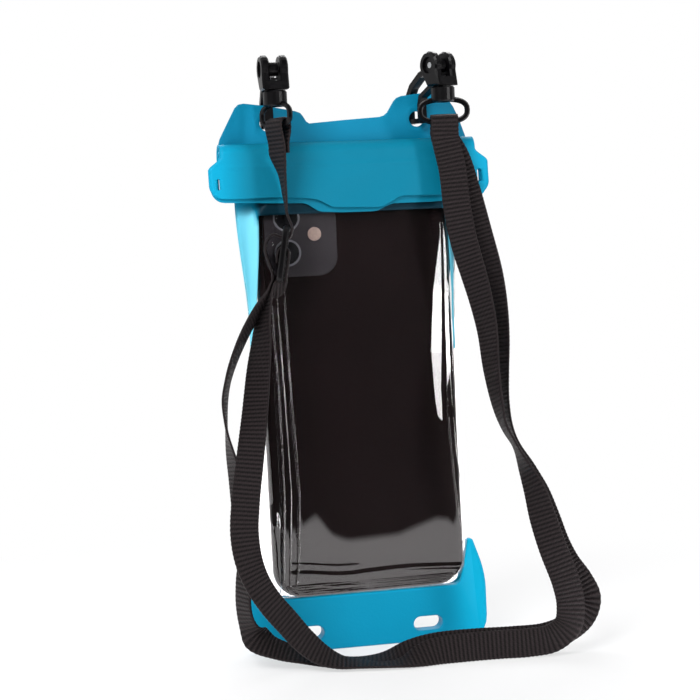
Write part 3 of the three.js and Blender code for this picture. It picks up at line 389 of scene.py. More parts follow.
def colour(red, green, blue):
    # sRGB from 0 to 255 to the linear values that shaders take
    channel = np.array([red, green, blue]) / 255
    linear = np.where(channel <= 0.04045, channel / 12.92, ((channel + 0.055) / 1.055) ** 2.4)
    return (*linear.tolist(), 1)


def mixColour(tree, factor, first, second):
    return node(tree, "ShaderNodeMix", {0: factor, 6: first, 7: second}, data_type="RGBA").outputs[2]


def maths(tree, operation, first, second=0.0, clamp=False):
    made = node(tree, "ShaderNodeMath", {0: first, 1: second}, operation=operation)
    made.use_clamp = clamp
    return made.outputs[0]


def ramp(tree, value, start, end, low=0.0, high=1.0):
    # an S-curve from low to high, as the value goes from start to end
    return node(tree, "ShaderNodeMapRange", {"Value": value, 1: start, 2: end, 3: low, 4: high},
                interpolation_type="SMOOTHSTEP").outputs[0]


def mixShader(tree, factor, first, second):
    return node(tree, "ShaderNodeMixShader", {0: factor, 1: first, 2: second}).outputs[0]


def surface(tree, shader):
    node(tree, "ShaderNodeOutputMaterial", {"Surface": shader})


def noiseGroup():
    # a slow mottle for colour and a fine grain for the bump, both from one position
    group = bpy.data.node_groups.new("mottleAndGrain", "ShaderNodeTree")
    for name, kind in (("Position", "NodeSocketVector"), ("Mottle scale", "NodeSocketFloat"),
                       ("Grain scale", "NodeSocketFloat")):
        group.interface.new_socket(name, in_out="INPUT", socket_type=kind)
    for name in ("Mottle", "Grain"):
        group.interface.new_socket(name, in_out="OUTPUT", socket_type="NodeSocketFloat")
    into = node(group, "NodeGroupInput")
    slow = node(group, "ShaderNodeTexNoise", {
        "Vector": into.outputs["Position"], "Scale": into.outputs["Mottle scale"], "Detail": 3.0})
    fine = node(group, "ShaderNodeTexNoise", {
        "Vector": into.outputs["Position"], "Scale": into.outputs["Grain scale"], "Detail": 2.0})
    node(group, "NodeGroupOutput", {"Mottle": slow.outputs["Fac"], "Grain": fine.outputs["Fac"]})
    return group


mottleAndGrain = noiseGroup()


def plasticMaterial(name, dark, light, roughness, mottleScale, grainScale, grainHeight, paintedBacklight=None, paintedPhoneShade=None,
                    ends=None, specular=0.5, metallic=0.0):
    # the first extra colour is painted light: the pale blue of light shining through the sheet from behind,
    # laid where shade is above 0;
    # the second is painted shade: the dark teal where the sheet lies over the dark phone, laid where shade
    # is below 0
    material, tree = newTree(name)
    place = node(tree, "ShaderNodeTexCoord").outputs["Object"]
    made = node(tree, "ShaderNodeGroup", {
        "Position": place, "Mottle scale": mottleScale, "Grain scale": grainScale}, node_tree=mottleAndGrain)
    mottle, grain = made.outputs["Mottle"], made.outputs["Grain"]
    base = mixColour(tree, mottle, colour(*dark), colour(*light))
    # painted light and painted shade: the pale backlit colour and the dark colour over the phone go onto the
    # base
    if paintedBacklight:
        shade = node(tree, "ShaderNodeAttribute", attribute_name="shade").outputs["Fac"]
        base = mixColour(tree, maths(tree, "MAXIMUM", shade, 0.0), base, colour(*paintedBacklight))
        base = mixColour(tree, maths(tree, "MAXIMUM", maths(tree, "MULTIPLY", shade, -1.0), 0.0), base,
                         colour(*paintedPhoneShade))
    if ends:
        # painted light: a lighter colour towards one or both ends along X, standing in for the brighter
        # light there
        along = node(tree, "ShaderNodeSeparateXYZ", {"Vector": place}).outputs["X"]
        if ends["both"]:
            along = maths(tree, "ABSOLUTE", along)
        base = mixColour(tree, ramp(tree, along, ends["from"], ends["to"]), base, colour(*ends["colour"]))
    relief = node(tree, "ShaderNodeBump", {"Height": grain, "Strength": 0.6, "Distance": grainHeight})
    spread = 0.06  # the mottle takes the roughness this far either way
    rough = maths(tree, "MULTIPLY_ADD", mottle, 2 * spread)
    rough.node.inputs[2].default_value = roughness - spread
    shader = node(tree, "ShaderNodeBsdfPrincipled", {
        "Base Color": base, "Roughness": rough, "Normal": relief.outputs["Normal"],
        "Specular IOR Level": specular, "Metallic": metallic})
    surface(tree, shader.outputs[0])
    return material


def webbingMaterial():
    # fine ribs run across the band, and a slight twill crosses them; the selvedge is smoother; the colour is
    # painted light and shade, lighter on the rib tops and darker in the gaps
    material, tree = newTree("wovenWebbing")
    coordinates = node(tree, "ShaderNodeUVMap", uv_map="weave").outputs["UV"]
    split = node(tree, "ShaderNodeSeparateXYZ", {"Vector": coordinates})
    across, along = split.outputs["X"], split.outputs["Y"]
    slant = maths(tree, "ADD", across, along)
    waves = ((along, "ribPitch"), (across, "warpPitch"), (slant, "twillPitch"))
    ribs, warp, twill = (maths(tree, "SINE", maths(tree, "MULTIPLY", way, 2 * np.pi / webbing[pitch]))
                         for way, pitch in waves)
    fromEdge = maths(tree, "SUBTRACT", webbing["width"] / 2, maths(tree, "ABSOLUTE", across))
    edge = maths(tree, "SMOOTH_MIN", 1.0, maths(tree, "MULTIPLY", fromEdge, 1.4), clamp=True)
    weave = maths(tree, "ADD", maths(tree, "MULTIPLY", ribs, 0.62), maths(tree, "MULTIPLY", warp, 0.16))
    weave = maths(tree, "ADD", weave, maths(tree, "MULTIPLY", twill, 0.1))
    height = maths(tree, "MULTIPLY", weave, edge)
    lift = maths(tree, "MULTIPLY_ADD", height, 0.5, clamp=True)
    lift.node.inputs[2].default_value = 0.5
    # painted highlight on the rib tops and painted shade in the gaps between them
    base = mixColour(tree, lift, colour(1, 1, 2), colour(50, 43, 44))
    relief = node(tree, "ShaderNodeBump", {"Height": height, "Strength": 1.0, "Distance": 0.0003})
    shader = node(tree, "ShaderNodeBsdfPrincipled", {
        "Base Color": base, "Roughness": 0.55, "Normal": relief.outputs["Normal"],
        "Sheen Weight": 0.02, "Sheen Roughness": 0.4, "Specular IOR Level": 0.1})
    surface(tree, shader.outputs[0])
    return material


def filmMaterial(name, crumple):
    # clear vinyl, smooth over the phone and finely creased where the shade attribute says it is slack;
    # shadows pass through it
    material, tree = newTree(name)
    place = node(tree, "ShaderNodeTexCoord").outputs["Object"]
    noise = node(tree, "ShaderNodeTexNoise", {"Vector": place, "Scale": 120.0, "Detail": 3.0})
    shade = node(tree, "ShaderNodeAttribute", attribute_name="shade").outputs["Fac"]
    height = maths(tree, "MULTIPLY", noise.outputs["Fac"], maths(tree, "MULTIPLY", shade, crumple))
    relief = node(tree, "ShaderNodeBump", {"Height": height, "Strength": 0.5, "Distance": 0.001})
    shader = node(tree, "ShaderNodeBsdfPrincipled", {
        "Base Color": (1, 1, 1, 1), "Roughness": 0.0, "IOR": 1.45, "Transmission Weight": 1.0,
        "Normal": relief.outputs["Normal"]})
    clear = node(tree, "ShaderNodeBsdfTransparent", {"Color": (0.96, 0.965, 0.97, 1)})
    shadow = node(tree, "ShaderNodeLightPath").outputs["Is Shadow Ray"]
    surface(tree, mixShader(tree, shadow, shader.outputs[0], clear.outputs[0]))
    return material


# blueSheet carries painted light and shade: a pale backlit blue, a dark teal over the phone, and lighter
# ends
blueFlap = plasticMaterial("blueSheet", (0, 111, 139), (1, 125, 155), 0.5, 40.0, 1500.0, 0.00006,
                           paintedBacklight=(128, 222, 243), paintedPhoneShade=(0, 40, 54),
                           ends={"both": True, "from": 0.034, "to": 0.051, "colour": (0, 158, 198)},
                           specular=0.12)
bluePanel = plasticMaterial("bluePanel", (0, 121, 157), (0, 136, 174), 0.45, 36.0, 1500.0, 0.00006,
                            specular=0.15)
# blueBand is painted lighter towards its right end: painted light
blueBand = plasticMaterial("blueBand", (0, 135, 172), (0, 149, 186), 0.48, 30.0, 1300.0, 0.00007,
                           ends={"both": False, "from": 0.028, "to": 0.045, "colour": (0, 176, 216)},
                           specular=0.12)
phoneGlass = plasticMaterial("phoneBack", (14, 8, 8), (19, 11, 12), 0.34, 60.0, 900.0, 0.000001,
                             specular=0.04)
islandGlass = plasticMaterial("cameraCorner", (34, 31, 34), (40, 36, 40), 0.45, 60.0, 900.0, 0.000001,
                              specular=0.15)
lensMetal = plasticMaterial("lensMetal", (78, 78, 84), (96, 96, 102), 0.35, 300.0, 2500.0, 0.00001)
lensGlass = plasticMaterial("lensGlass", (8, 9, 12), (13, 13, 16), 0.15, 300.0, 2500.0, 0.000001)
flashGlass = plasticMaterial("flashGlass", (112, 92, 84), (150, 128, 118), 0.5, 900.0, 2500.0, 0.00006)
clipPlastic = plasticMaterial("clipPlastic", (4, 3, 5), (10, 9, 11), 0.34, 160.0, 2200.0, 0.00004,
                              specular=0.2)
closureFabric = plasticMaterial("closureFabric", (14, 17, 20), (30, 34, 38), 0.9, 200.0, 2500.0, 0.0003)
steel = plasticMaterial("clipSteel", (170, 172, 175), (196, 198, 200), 0.3, 300.0, 3000.0, 0.00002,
                        metallic=1.0)
webbingCloth = webbingMaterial()
clearFront = filmMaterial("clearFilmFront", 0.6)
clearBack = filmMaterial("clearFilmBack", 0.4)

for piece in (strapLong, strapReturn, leftLoop, rightLoop, rightEnd):
    useMaterial(piece, webbingCloth)
nodeMaterials = {
    "bottom_band": blueBand,
    "zip_rib_strip": bluePanel, "zip_groove_strip": bluePanel, "hook_strip": closureFabric,
    "loop_strip": closureFabric, "strap_slider": clipPlastic,
}
for side in ("left", "right"):
    nodeMaterials.update({
        f"clip_body_{side}": clipPlastic, f"clip_jaw_{side}": clipPlastic, f"clip_pin_{side}": steel,
        f"clip_spring_{side}": steel, f"swivel_ring_{side}": clipPlastic,
    })
for name, material in nodeMaterials.items():
    useMaterial(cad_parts[name], material)
print("stage: materials")


# Films

film = {
    "bottom": 20.4, "top": 172, "thickness": 0.35, "grip": 1.2, "reach": 4.6, "gap": 0.3, "weld": 0.15,
    "mirrorSlope": 0.213, "deepest": 0.12, "leanFrom": 46, "leanOut": 0.22,
    "tuckSlope": 0.314, "tuckX": -30.6, "tuckZ": 47, "tuckSpread": 0.28,
}
# long lines in the film, as x at heights z: three creases on the left, and a soft fold on the right whose
# crest and foot bound one bright streak
filmLines = {
    "outerCrease": ([20, 59, 93.5, 126, 151, 165], [-31.8, -29.9, -30.1, -31.3, -32.5, -32.2]),
    "thinCrease": ([20, 60, 93.5, 135, 165], [-29.4, -27.2, -27.9, -29.2, -30.2]),
    "innerCrease": ([20, 32, 59.6, 93.3, 134, 165], [-27.4, -25.8, -24.2, -25.7, -26.6, -28.4]),
    "foldCrest": ([20, 70.8, 90, 107, 121, 131, 150, 165], [30.8, 30.3, 28.3, 27.4, 28.6, 29.5, 33, 33.6]),
    "foldFoot": ([20, 70.8, 93, 115, 131, 150, 165], [31.6, 31.2, 31, 32.2, 32.9, 33.5, 33.6]),
    "edgeCrest": ([20, 39.5, 48.8, 75, 93, 117, 141, 160, 165],
                  [36, 36, 35.2, 33.5, 33, 33.4, 33.9, 34.2, 34.2]),
    "edgeFoot": ([20, 39.5, 48.8, 75, 93, 117, 141, 160, 165],
                 [37, 37, 36.6, 35.7, 34.9, 35.1, 35.7, 35.8, 35.8]),
}
# the height and width of each crease
creases = {"outerCrease": (0.3, 0.42), "thinCrease": (0.14, 0.3), "innerCrease": (0.34, 0.4)}
# how much the film leans out upward above the phone's lower end, at places across it
lowerLean = ([-30, -24.5, -18.4, -12.6, -6.7, 12.7, 22.6, 27, 32.3, 36],
             [-0.004, 0, 0.01, -0.008, -0.014, -0.012, -0.004, -0.001, -0.003, -0.014])


def filmLine(name, z):
    heights, places = filmLines[name]
    return np.interp(z, heights, places)


def phoneDistance(x, z):
    # distance outside the phone's rounded outline, negative inside it
    turn = np.radians(pouch["phoneLean"])
    right = x - pouch["phoneShift"]
    high = z - pouch["phoneBottom"] - pouch["phoneHeight"] / 2
    corner = pouch["phoneCorner"]
    across = np.abs(right * np.cos(turn) + high * np.sin(turn)) - (pouch["phoneWidth"] / 2 - corner)
    up = np.abs(high * np.cos(turn) - right * np.sin(turn)) - (pouch["phoneHeight"] / 2 - corner)
    outside = np.hypot(np.maximum(across, 0), np.maximum(up, 0))
    return outside + np.minimum(np.maximum(across, up), 0) - corner


def filmInside(x, z):
    fall = smooth(-film["grip"], film["reach"] - film["grip"], phoneDistance(x, z))
    return film["weld"] + (pouch["phoneFace"] + film["gap"] - film["weld"]) * (1 - fall)


def windowHalf(z):
    # the window's half-width: narrow between the band's wings, then nearly full
    low = 34.95 + 3.85 * np.clip((z - 20.3) / 16.2, 0, 1)
    return low + 0.4 * smooth(36.5, 39, z) - 1.2 * smooth(40, 70, z) + 1.7 * smooth(105, 150, z)


def filmLift(x, z):
    # how far the front film stands off: three creases, a fold and the edge on the right, whose slope mirrors
    # the strip lamp between the strands of the strap, the lean that draws the wavy reflection at the bottom,
    # fine wrinkles under it, and a crumple at the lower left
    over = smooth(3, -2, phoneDistance(x, z))
    lift = np.zeros_like(x)
    for name, (height, width) in creases.items():
        lift += height * smooth(20, 26, z) * bump(filmLine(name, z), width, x)
    crest, foot = filmLine("foldCrest", z), filmLine("foldFoot", z)
    swell = smooth(68, 88, z) * smooth(161, 151, z)
    rise = film["mirrorSlope"] * (foot - crest) * smooth(-9, 0, x - crest)
    down = film["mirrorSlope"] * np.clip(foot - x, 0, None)
    lift += swell * np.where(x < crest, rise, down)
    crest, foot = filmLine("edgeCrest", z), filmLine("edgeFoot", z)
    edge = np.clip(np.minimum(foot - x, foot - crest), 0, None) * smooth(-0.5, 0, x - crest)
    lift += film["mirrorSlope"] * edge * smooth(36, 44, z)
    lean = np.interp(x, *lowerLean)
    near = smooth(84, 52, z) * smooth(21, 26, z)
    lift += (lean * (z - film["leanFrom"]) + film["leanOut"]) * near * over
    crinkle = 28.6 + 1.6 * smooth(-5, -26, x) + 0.5 * np.sin(x / 9)
    fine = 0.16 * bump(crinkle - 1, 0.9, z) + 0.07 * bump(crinkle + 2.4, 0.5, z) * smooth(0, -10, x)
    lift += over * (fine * smooth(-30, -27, x) + 0.1 * bump(24.4, 0.5, z) + 0.1 * bump(22.6, 0.5, z))
    slack = smooth(-1, 3, phoneDistance(x, z))
    tuck = film["tuckX"] - film["tuckSpread"] * np.abs(z - film["tuckZ"])
    pinch = smooth(56, 51, z) * smooth(40.5, 43, z)
    lift += film["tuckSlope"] * np.clip(tuck - x, 0, 7) * pinch
    wrinkles = 0.05 * np.sin((x + z) / 0.7) + 0.04 * np.sin((2 * x - z) / 1.1)
    lift += pinch * smooth(tuck, tuck - 1.5, x) * wrinkles
    lift += slack * 0.12 * np.sin(x / 0.8 + 0.8 * np.sin(z / 21))
    return np.maximum(lift, -film["deepest"])


def filmColumns(z):
    # columns that follow the film's lines, close together beside each
    half = windowHalf(z)
    anchors = [(-half, 0), (-half + 2.5, 14), (filmLine("outerCrease", z) - 0.8, 10)]
    for name in creases:
        anchors += [(filmLine(name, z) - 0.8, 3), (filmLine(name, z), 6), (filmLine(name, z) + 0.8, 6)]
    for name, offset, count in (("foldCrest", -9, 44), ("foldCrest", -0.4, 16), ("foldCrest", 0.2, 3),
                                ("foldFoot", -0.2, 10), ("foldFoot", 0.2, 2), ("edgeCrest", -0.5, 2),
                                ("edgeCrest", 0, 4), ("edgeFoot", 0, 6)):
        anchors.append((filmLine(name, z) + offset, count))
    anchors += [(half - 1.2, 14), (half, 6)]
    columns, last = [anchors[0][0]], anchors[0][0]
    for place, count in anchors[1:]:
        for k in range(1, count + 1):
            columns.append(last + (place - last) * k / count)
        last = place
    return np.sort(np.stack(columns), axis=0)


def makeFilm(name, side):
    z = np.concatenate([np.linspace(film["bottom"], 32, 75), np.linspace(32.4, 60, 60),
                        np.linspace(61, film["top"], 115)])
    x = filmColumns(z)
    z = np.broadcast_to(z, x.shape)
    inside = filmInside(x, z) + filmLift(x, z) * (side < 0)
    inner = np.stack([x, side * inside, z], -1)
    outer = np.stack([x, side * (inside + film["thickness"]), z], -1)
    slack = np.tile(smooth(0.5, 4, phoneDistance(x, z)).ravel(), 2)
    points, faces = shellParts(outer, inner)
    return writeMesh(name, points, faces, shades=slack)


filmFront = makeFilm("film_front_sheet", -1)
filmBack = makeFilm("film_back_sheet", 1)
for piece, material, cadNode in ((filmFront, clearFront, "front_film"), (filmBack, clearBack, "back_film")):
    useMaterial(piece, material)
    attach(piece, "pouch")
    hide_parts(cadNode)
print("stage: films")


# Borders: each is one sheet that runs up the mouth, over the fold and down in front as a lip

border = {
    "thickness": 0.8, "legBottom": 108.2, "bandBottom": 160, "foldHalf": 47.25, "tabCorner": 5, "lean": 1.45,
    "slotInset": 3.4, "slotHeight": 171.5, "slotHalf": 1.6,
}
# the lower edges of the two lips, x and z across the front
lipEdges = {
    "outer": ([-52, -46, -36, -19.5, -15, -9.4, -7.5, 11, 13, 20, 22, 34, 46],
              [166.3, 166.1, 166.3, 165.4, 164.7, 162.1, 161.8, 161.2, 161.5, 164.6, 165, 164.8, 164.6]),
    "inner": ([-52, -46, -36, -22, -19.5, -15.5, -13.5, -4, 9, 11, 15, 18, 34, 46, 52],
              [165, 164.7, 164.2, 163.8, 163.2, 160.9, 160.4, 159.9, 159.8, 160, 161.6, 162.4, 162.4, 162.8,
               163.4]),
}
lips = {
    "back": {"side": 1, "radius": 3.75, "middle": -2.2, "edge": "outer", "tabHalf": 51.8},
    "front": {"side": -1, "radius": 1.25, "middle": -3.6, "edge": "inner", "tabHalf": 51.1},
}


def borderInside(x, z):
    mouth = pouch["mouthHalf"] * smooth(film["top"] - 3, film["top"], z)
    return np.maximum(filmInside(x, z) + 0.95, mouth)


def lipWave(x, z):
    # the same slow waves for both lips, so that they stay apart
    slow = 0.3 * np.sin(x / 15 + 0.6) * smooth(182, 172, z)
    quick = 0.16 * np.sin(x / 6 - z / 5) * smooth(180, 170, z)
    return (slow + quick + 0.25 * bump(0, 30, x) * bump(174, 4, z)
            + 0.12 * bump(177.4, 0.8, z) * smooth(47, 44, np.abs(x)))


def makeBorder(name, lip):
    # columns as shares of the half-width: the window's part within 0.8, and the legs past it
    columns = np.concatenate([np.linspace(-1, -0.8, 9), np.linspace(-0.78, 0.78, 105),
                              np.linspace(0.8, 1, 9)])
    body = np.concatenate([np.linspace(border["legBottom"], 158, 26), [159, 160], np.linspace(161, 176, 22),
                           np.linspace(177, pouch["foldSpring"], 7)])
    arc = np.radians(np.linspace(0, 180, 25))[1:]
    down = np.linspace(0, 1, 61)[1:] ** 0.8
    u = columns[None, :]
    z = body[:, None]
    leg = 38.4 + 3.2 * smooth(118, 166, z) - 1.4 * (u > 0) * smooth(172, 150, z)
    half = leg + (border["foldHalf"] - leg) * smooth(168, 180, z)
    tip = smooth(border["legBottom"] - 1.5, border["legBottom"] + 2.5, z)
    window = 37 - np.where(u > 0, 1.0, 2.7) * smooth(108, 160, z) + 0.9 * (1 - tip)
    window = np.minimum(window, half - 0.8)
    x = np.where(np.abs(u) <= 0.8, u / 0.8 * window,
                 np.sign(u) * (window + (np.abs(u) - 0.8) / 0.2 * (half - window)))
    z = np.broadcast_to(z, x.shape)
    inside = borderInside(x, z)
    grids = {"near": [], "far": []}
    grids["near"].append(np.stack([x, lip["side"] * inside, z], -1))
    grids["far"].append(np.stack([x, lip["side"] * (inside + border["thickness"]), z], -1))
    arcX = np.broadcast_to(x[-1], (len(arc), x.shape[1]))
    sides = (("near", lip["radius"]), ("far", lip["radius"] + border["thickness"]))
    for key, radius in sides:
        y = lip["middle"] + radius * np.cos(arc)[:, None] + 0 * arcX
        high = pouch["foldSpring"] + radius * np.sin(arc)[:, None] + 0 * arcX
        grids[key].append(np.stack([arcX, y, high], -1))
    bottom = np.interp(u * lip["tabHalf"], *lipEdges[lip["edge"]])
    z = pouch["foldSpring"] - down[:, None] * (pouch["foldSpring"] - bottom)
    corner = border["tabCorner"]
    above = np.clip(z - bottom, 0, corner)
    rounding = corner - np.sqrt(np.maximum(corner ** 2 - (corner - above) ** 2, 0))
    full = border["foldHalf"] + (lip["tabHalf"] - border["foldHalf"]) * smooth(181.5, 176.5, z) - rounding
    x = x[-1][None, :] / border["foldHalf"] * full
    drop = down[:, None] * border["lean"] + lipWave(x, z) * smooth(0, 0.25, down[:, None])
    for key, radius in sides:
        grids[key].append(np.stack([x, lip["middle"] - radius - drop, z], -1))
    near, far = (np.concatenate(grids[key]) for key in ("near", "far"))
    keep = np.ones((near.shape[0] - 1, near.shape[1] - 1), bool)
    middleCells = np.abs(columns[:-1] + columns[1:]) / 2 < 0.8
    keep[:int(np.sum(body < border["bandBottom"] - 0.1)), middleCells] = False
    height = np.concatenate([np.broadcast_to(body[:, None], (len(body), len(columns))),
                             np.full((len(arc) + len(down), len(columns)), 200.0)])
    # painted light and shade: below the lips the single layers are painted pale as if lit from behind, fully
    # on the left and less on the right; where the band lies over the phone the value goes below 0, painted
    # shade
    paintedBacklight = smooth(164, 159, height) * np.where(near[..., 0] < 0, 1, 0.45)
    over = smooth(172, 166, height) * smooth(156, 160, height) * smooth(36, 33.5, np.abs(near[..., 0]))
    paintedBacklight = paintedBacklight * (1 - over) - over
    piece = cutShell(name, far, near, keep, paintedBacklight)
    # an upright slot in each end tab; the left one is pressed nearly shut
    for side, width in ((-1, 0.4), (1, 0.8)):
        place = (side * (lip["tabHalf"] - border["slotInset"]), lip["middle"] - lip["radius"] - 1,
                 border["slotHeight"])
        cutHoles(piece, [place], width, border["slotHalf"], border["slotHalf"])
    return piece


borderBack = makeBorder("border_back_sheet", lips["back"])
borderFront = makeBorder("border_front_sheet", lips["front"])
for piece, cadNode in ((borderBack, "back_border"), (borderFront, "front_border")):
    useMaterial(piece, blueFlap)
    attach(piece, "pouch")
    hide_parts(cadNode)
print("stage: borders")


# Hang panel: a sheet with two ears, whose top edge is x and z across the front

panelTop = (
    [-46.9, -46.3, -45.6, -42.3, -39.6, -38.3, -36.3, -28, -17.4, -15.6, -14.6, -13.5, -12.4, 1, 14, 15.8,
     17.2, 19.8, 20.9, 22.5, 32, 37.5, 40.4, 42.3, 44.4, 46.6, 47],
    [179, 186, 188.4, 194.5, 199.4, 200.6, 200.9, 199.8, 197.6, 196.9, 195.6, 193.7, 193, 193.9, 194.6,
     195.1, 196.2, 200.3, 201.4, 202, 203, 202.3, 200.2, 197.4, 192.5, 186, 179],
)


def makePanel():
    # even columns, and closer ones where the top edge bends
    spans = ((-46.9, 47, 150), (-46.9, -38, 24), (-17.5, -12, 24), (14, 22, 26), (37, 47, 24))
    x = np.unique(np.concatenate([panelTop[0]] + [np.linspace(*span) for span in spans]))
    top = np.interp(x, *panelTop)
    part = np.linspace(0, 1, 46)[:, None]
    z = pouch["panelBottom"] + part * (top[None, :] - pouch["panelBottom"])
    x = np.broadcast_to(x[None, :], z.shape) * (1 - 0.018 * smooth(178, 172, z))
    bend = 0.25 * np.sin(x / 17 + 1) * smooth(186, 200, z) + 0.15 * np.sin(x / 7) * smooth(188, 194, z)
    ring = 0
    for side in (-1, 1):
        reach = np.hypot(x - side * pouch["holeSpacing"] / 2, z - pouch["holeHeight"])
        ring = ring + 0.22 * bump(4.1, 0.5, reach)
        bend = bend * smooth(2.8, 8, reach)
    half = pouch["panelThickness"] / 2
    near = np.stack([x, pouch["panelMiddle"] - half + bend - ring, z], -1)
    far = np.stack([x, pouch["panelMiddle"] + half + bend, z], -1)
    points, faces = shellParts(near, far)
    piece = writeMesh("hang_panel_sheet", points, faces)
    holes = [(side * pouch["holeSpacing"] / 2, pouch["panelMiddle"], pouch["holeHeight"])
             for side in (-1, 1)]
    cutHoles(piece, holes, 2.8, 3)
    return piece


panel = makePanel()
useMaterial(panel, bluePanel)
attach(panel, "pouch")
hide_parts("hang_panel")
print("stage: hang panel")


# Phone: a rounded slab, with a camera corner, two lenses and a flash

camera = {"left": -32.2, "right": -5.6, "bottom": 137.4, "top": 165.2, "corner": 7, "lensX": -23.9,
          "lenses": (146.1, 158.7), "lens": 4.9, "flash": (-13.8, 152.6), "flashRadius": 2.5}


def roundedOutline(halfWidth, halfHeight, corner, steps=14):
    # quarter circles at the corners of a rectangle, joined by its straight sides
    turn = np.linspace(0, np.pi / 2, steps)
    parts = [np.stack([sx * (halfWidth - corner) + corner * np.cos(turn + start),
                       sz * (halfHeight - corner) + corner * np.sin(turn + start)], -1)
             for sx, sz, start in ((1, 1, 0), (-1, 1, np.pi / 2), (-1, -1, np.pi), (1, -1, 1.5 * np.pi))]
    return np.concatenate(parts)


def addPhonePiece(name, rings, material):
    piece = tubeMesh(name, rings)
    useMaterial(piece, material)
    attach(piece, "pouch")
    return piece


def makePhone():
    edge = 2.6
    halfWidth, halfHeight = pouch["phoneWidth"] / 2, pouch["phoneHeight"] / 2
    middle = pouch["phoneBottom"] + halfHeight
    lean = np.radians(pouch["phoneLean"])
    rings = []
    for side in (-1, 1):
        turns = np.radians(np.linspace(90, 0, 9) if side < 0 else np.linspace(0, 90, 9))
        for turn in turns:
            inset = edge * (1 - np.cos(turn))
            depth = side * (pouch["phoneFace"] - edge * (1 - np.sin(turn)))
            x, z = roundedOutline(halfWidth - inset, halfHeight - inset, pouch["phoneCorner"] - inset).T
            rings.append(np.stack([x * np.cos(lean) - z * np.sin(lean) + pouch["phoneShift"], 0 * x + depth,
                                   z * np.cos(lean) + x * np.sin(lean) + middle], -1))
    piece = addPhonePiece("phone_slab", np.stack(rings), phoneGlass)
    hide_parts("phone")


def turned(x, z, profile, around=48):
    # a profile of radius and depth turned about an axis along Y
    turn = np.linspace(0, 2 * np.pi, around, endpoint=False)
    return np.stack([np.stack([x + radius * np.cos(turn), 0 * turn + depth, z + radius * np.sin(turn)], -1)
                     for radius, depth in profile])


def addCameraCorner():
    face = -pouch["phoneFace"]
    x, z = roundedOutline((camera["right"] - camera["left"]) / 2, (camera["top"] - camera["bottom"]) / 2,
                          camera["corner"]).T
    middle = np.array([(camera["right"] + camera["left"]) / 2, (camera["top"] + camera["bottom"]) / 2])
    rings = []
    for scale, depth in ((1, face + 0.2), (1, face - 0.02), (0.985, face - 0.09), (0.975, face - 0.11)):
        rings.append(np.stack([x * scale + middle[0], 0 * x + depth, z * scale + middle[1]], -1))
    addPhonePiece("phone_camera_corner", np.stack(rings), islandGlass)
    for number, height in enumerate(camera["lenses"], 1):
        radius = camera["lens"]
        addPhonePiece(f"phone_lens_ring_{number}", turned(camera["lensX"], height, [
            (radius, face + 0.1), (radius, face - 0.15), (radius - 0.15, face - 0.21),
            (radius - 0.5, face - 0.21), (radius - 0.62, face - 0.16)]), lensMetal)
        addPhonePiece(f"phone_lens_glass_{number}", turned(camera["lensX"], height, [
            (radius - 0.7, face + 0.1), (radius - 0.7, face - 0.19),
            (radius - 0.9, face - 0.22)]), lensGlass)
    addPhonePiece("phone_flash", turned(*camera["flash"], [
        (camera["flashRadius"], face + 0.1), (camera["flashRadius"], face - 0.14),
        (camera["flashRadius"] - 0.2, face - 0.18)]), flashGlass)


makePhone()
addCameraCorner()
print("stage: phone")


# Strap ends round the swivel rings: their meshes are baked in place

for piece, body, start, end in ringEnds:
    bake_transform(piece)


# Floor, light and world

floorSize = {"half": 3.0, "shadow": 0.4, "shadowReach": (0.1, 0.3), "tableEdge": 0.3}
mirrorGlow = {"table": 1.85, "pastTable": 0.03, "worldFront": 0.03, "worldBack": 0.8}
glare = {"from": 0.036, "towards": 0.63, "within": 0.07, "strength": 15.0}


def rayKinds(tree):
    # straight: seen directly or through the film; mirrored: after a reflection, also one behind the film
    rays = node(tree, "ShaderNodeLightPath").outputs
    reflected = maths(tree, "GREATER_THAN", rays["Glossy Depth"], 0.5)
    scattered = maths(tree, "GREATER_THAN", rays["Diffuse Depth"], 0.5)
    bounced = maths(tree, "MAXIMUM", reflected, scattered)
    through = maths(tree, "MULTIPLY", rays["Is Transmission Ray"], maths(tree, "SUBTRACT", 1.0, bounced))
    straight = maths(tree, "MAXIMUM", rays["Is Camera Ray"], through)
    behind = maths(tree, "MULTIPLY", rays["Is Transmission Ray"], reflected)
    mirrored = maths(tree, "MULTIPLY", maths(tree, "MAXIMUM", rays["Is Glossy Ray"], behind),
                     maths(tree, "SUBTRACT", 1.0, scattered))
    return straight, mirrored


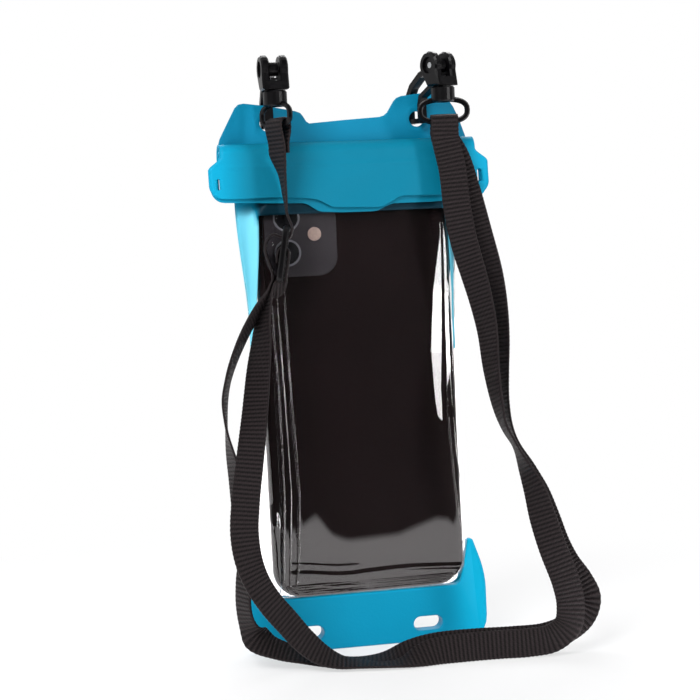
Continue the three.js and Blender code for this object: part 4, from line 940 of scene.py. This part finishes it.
def addFloor():
    # white where it is seen, with a share of lit matte near the pouch that keeps its shadow; mirrored, it
    # is bright up to the table's edge in front, and dark past it apart from the strip lamp's glare
    mesh = bpy.data.meshes.new("floor")
    half = floorSize["half"]
    corners = [(-half, -half, 0), (half, -half, 0), (half, half, 0), (-half, half, 0)]
    mesh.from_pydata(corners, [], [(0, 1, 2, 3)])
    floor = bpy.data.objects.new("floor", mesh)
    link(floor)
    material, tree = newTree("floorWhite")
    place = node(tree, "ShaderNodeTexCoord").outputs["Object"]
    reach = node(tree, "ShaderNodeVectorMath", {0: place}, operation="LENGTH").outputs["Value"]
    front = node(tree, "ShaderNodeSeparateXYZ", {"Vector": place}).outputs["Y"]
    fade = ramp(tree, reach, *floorSize["shadowReach"], floorSize["shadow"], 0.0)
    edge = -floorSize["tableEdge"]
    past = ramp(tree, front, edge - 0.03, edge + 0.01, mirrorGlow["pastTable"], mirrorGlow["table"])
    # towards the strip lamp the mirrored floor carries its glare: the angle, in radians, is taken from the
    # front at the phone's right edge
    side = maths(tree, "SUBTRACT", node(tree, "ShaderNodeSeparateXYZ", {"Vector": place}).outputs["X"],
                 glare["from"])
    angle = maths(tree, "ARCTAN2", side, maths(tree, "MULTIPLY", front, -1.0))
    off = maths(tree, "ABSOLUTE", maths(tree, "SUBTRACT", angle, glare["towards"]))
    shine = ramp(tree, off, glare["within"], glare["within"] + 0.02, glare["strength"], 0.0)
    past = maths(tree, "MAXIMUM", past, shine)
    straight, glossy = rayKinds(tree)
    matte = node(tree, "ShaderNodeBsdfPrincipled", {"Base Color": (0.86, 0.86, 0.87, 1), "Roughness": 0.9})
    white = node(tree, "ShaderNodeEmission", {"Color": (1, 1, 1, 1), "Strength": 1.0})
    mirrored = node(tree, "ShaderNodeEmission", {"Color": (1, 0.97, 0.98, 1), "Strength": past})
    bare = maths(tree, "MULTIPLY", straight, maths(tree, "SUBTRACT", 1.0, fade))
    seen = mixShader(tree, bare, matte.outputs[0], white.outputs[0])
    surface(tree, mixShader(tree, glossy, seen, mirrored.outputs[0]))
    useMaterial(floor, material)


def addWorld():
    # white behind the pouch, and dim in front of it for reflections
    world = bpy.data.worlds.new("studio")
    bpy.context.scene.world = world
    world.use_nodes = True
    tree = world.node_tree
    tree.nodes.clear()
    straight, glossy = rayKinds(tree)
    way = node(tree, "ShaderNodeTexCoord").outputs["Generated"]
    front = node(tree, "ShaderNodeSeparateXYZ", {"Vector": way}).outputs["Y"]
    mirrored = ramp(tree, front, -0.45, 0.3, mirrorGlow["worldFront"], mirrorGlow["worldBack"])
    around = node(tree, "ShaderNodeMix", {0: glossy, 2: 0.5, 3: mirrored})
    strength = node(tree, "ShaderNodeMix", {0: straight, 2: around.outputs[0], 3: 1.0})
    background = node(tree, "ShaderNodeBackground", {"Color": (1, 1, 1, 1), "Strength": strength.outputs[0]})
    node(tree, "ShaderNodeOutputWorld", {"Surface": background.outputs[0]})


lamps = {
    "key": {"place": (-0.6, -0.75, 0.85), "aim": (0, 0, 0.11), "size": (0.5, 0.5), "power": 10},
    "strip": {"place": (0.706, -0.93, 0.33), "aim": (0, 0, 0.33), "size": (0.16, 0.62), "power": 5},
    "back": {"place": (0.1, 0.9, 0.8), "aim": (0, 0, 0.11), "size": (0.9, 0.5), "power": 8},
}


def addLamps():
    for name, lamp in lamps.items():
        light = bpy.data.lights.new(name, "AREA")
        light.shape = "RECTANGLE"
        light.size, light.size_y = lamp["size"]
        light.energy = lamp["power"]
        made = bpy.data.objects.new(name, light)
        made.location = lamp["place"]
        aim = Vector(lamp["aim"]) - Vector(lamp["place"])
        made.rotation_euler = aim.to_track_quat("-Z", "Y").to_euler()
        link(made)


addFloor()
addWorld()
addLamps()
bpy.context.scene.view_settings.view_transform = "Standard"
print("stage: floor and light")
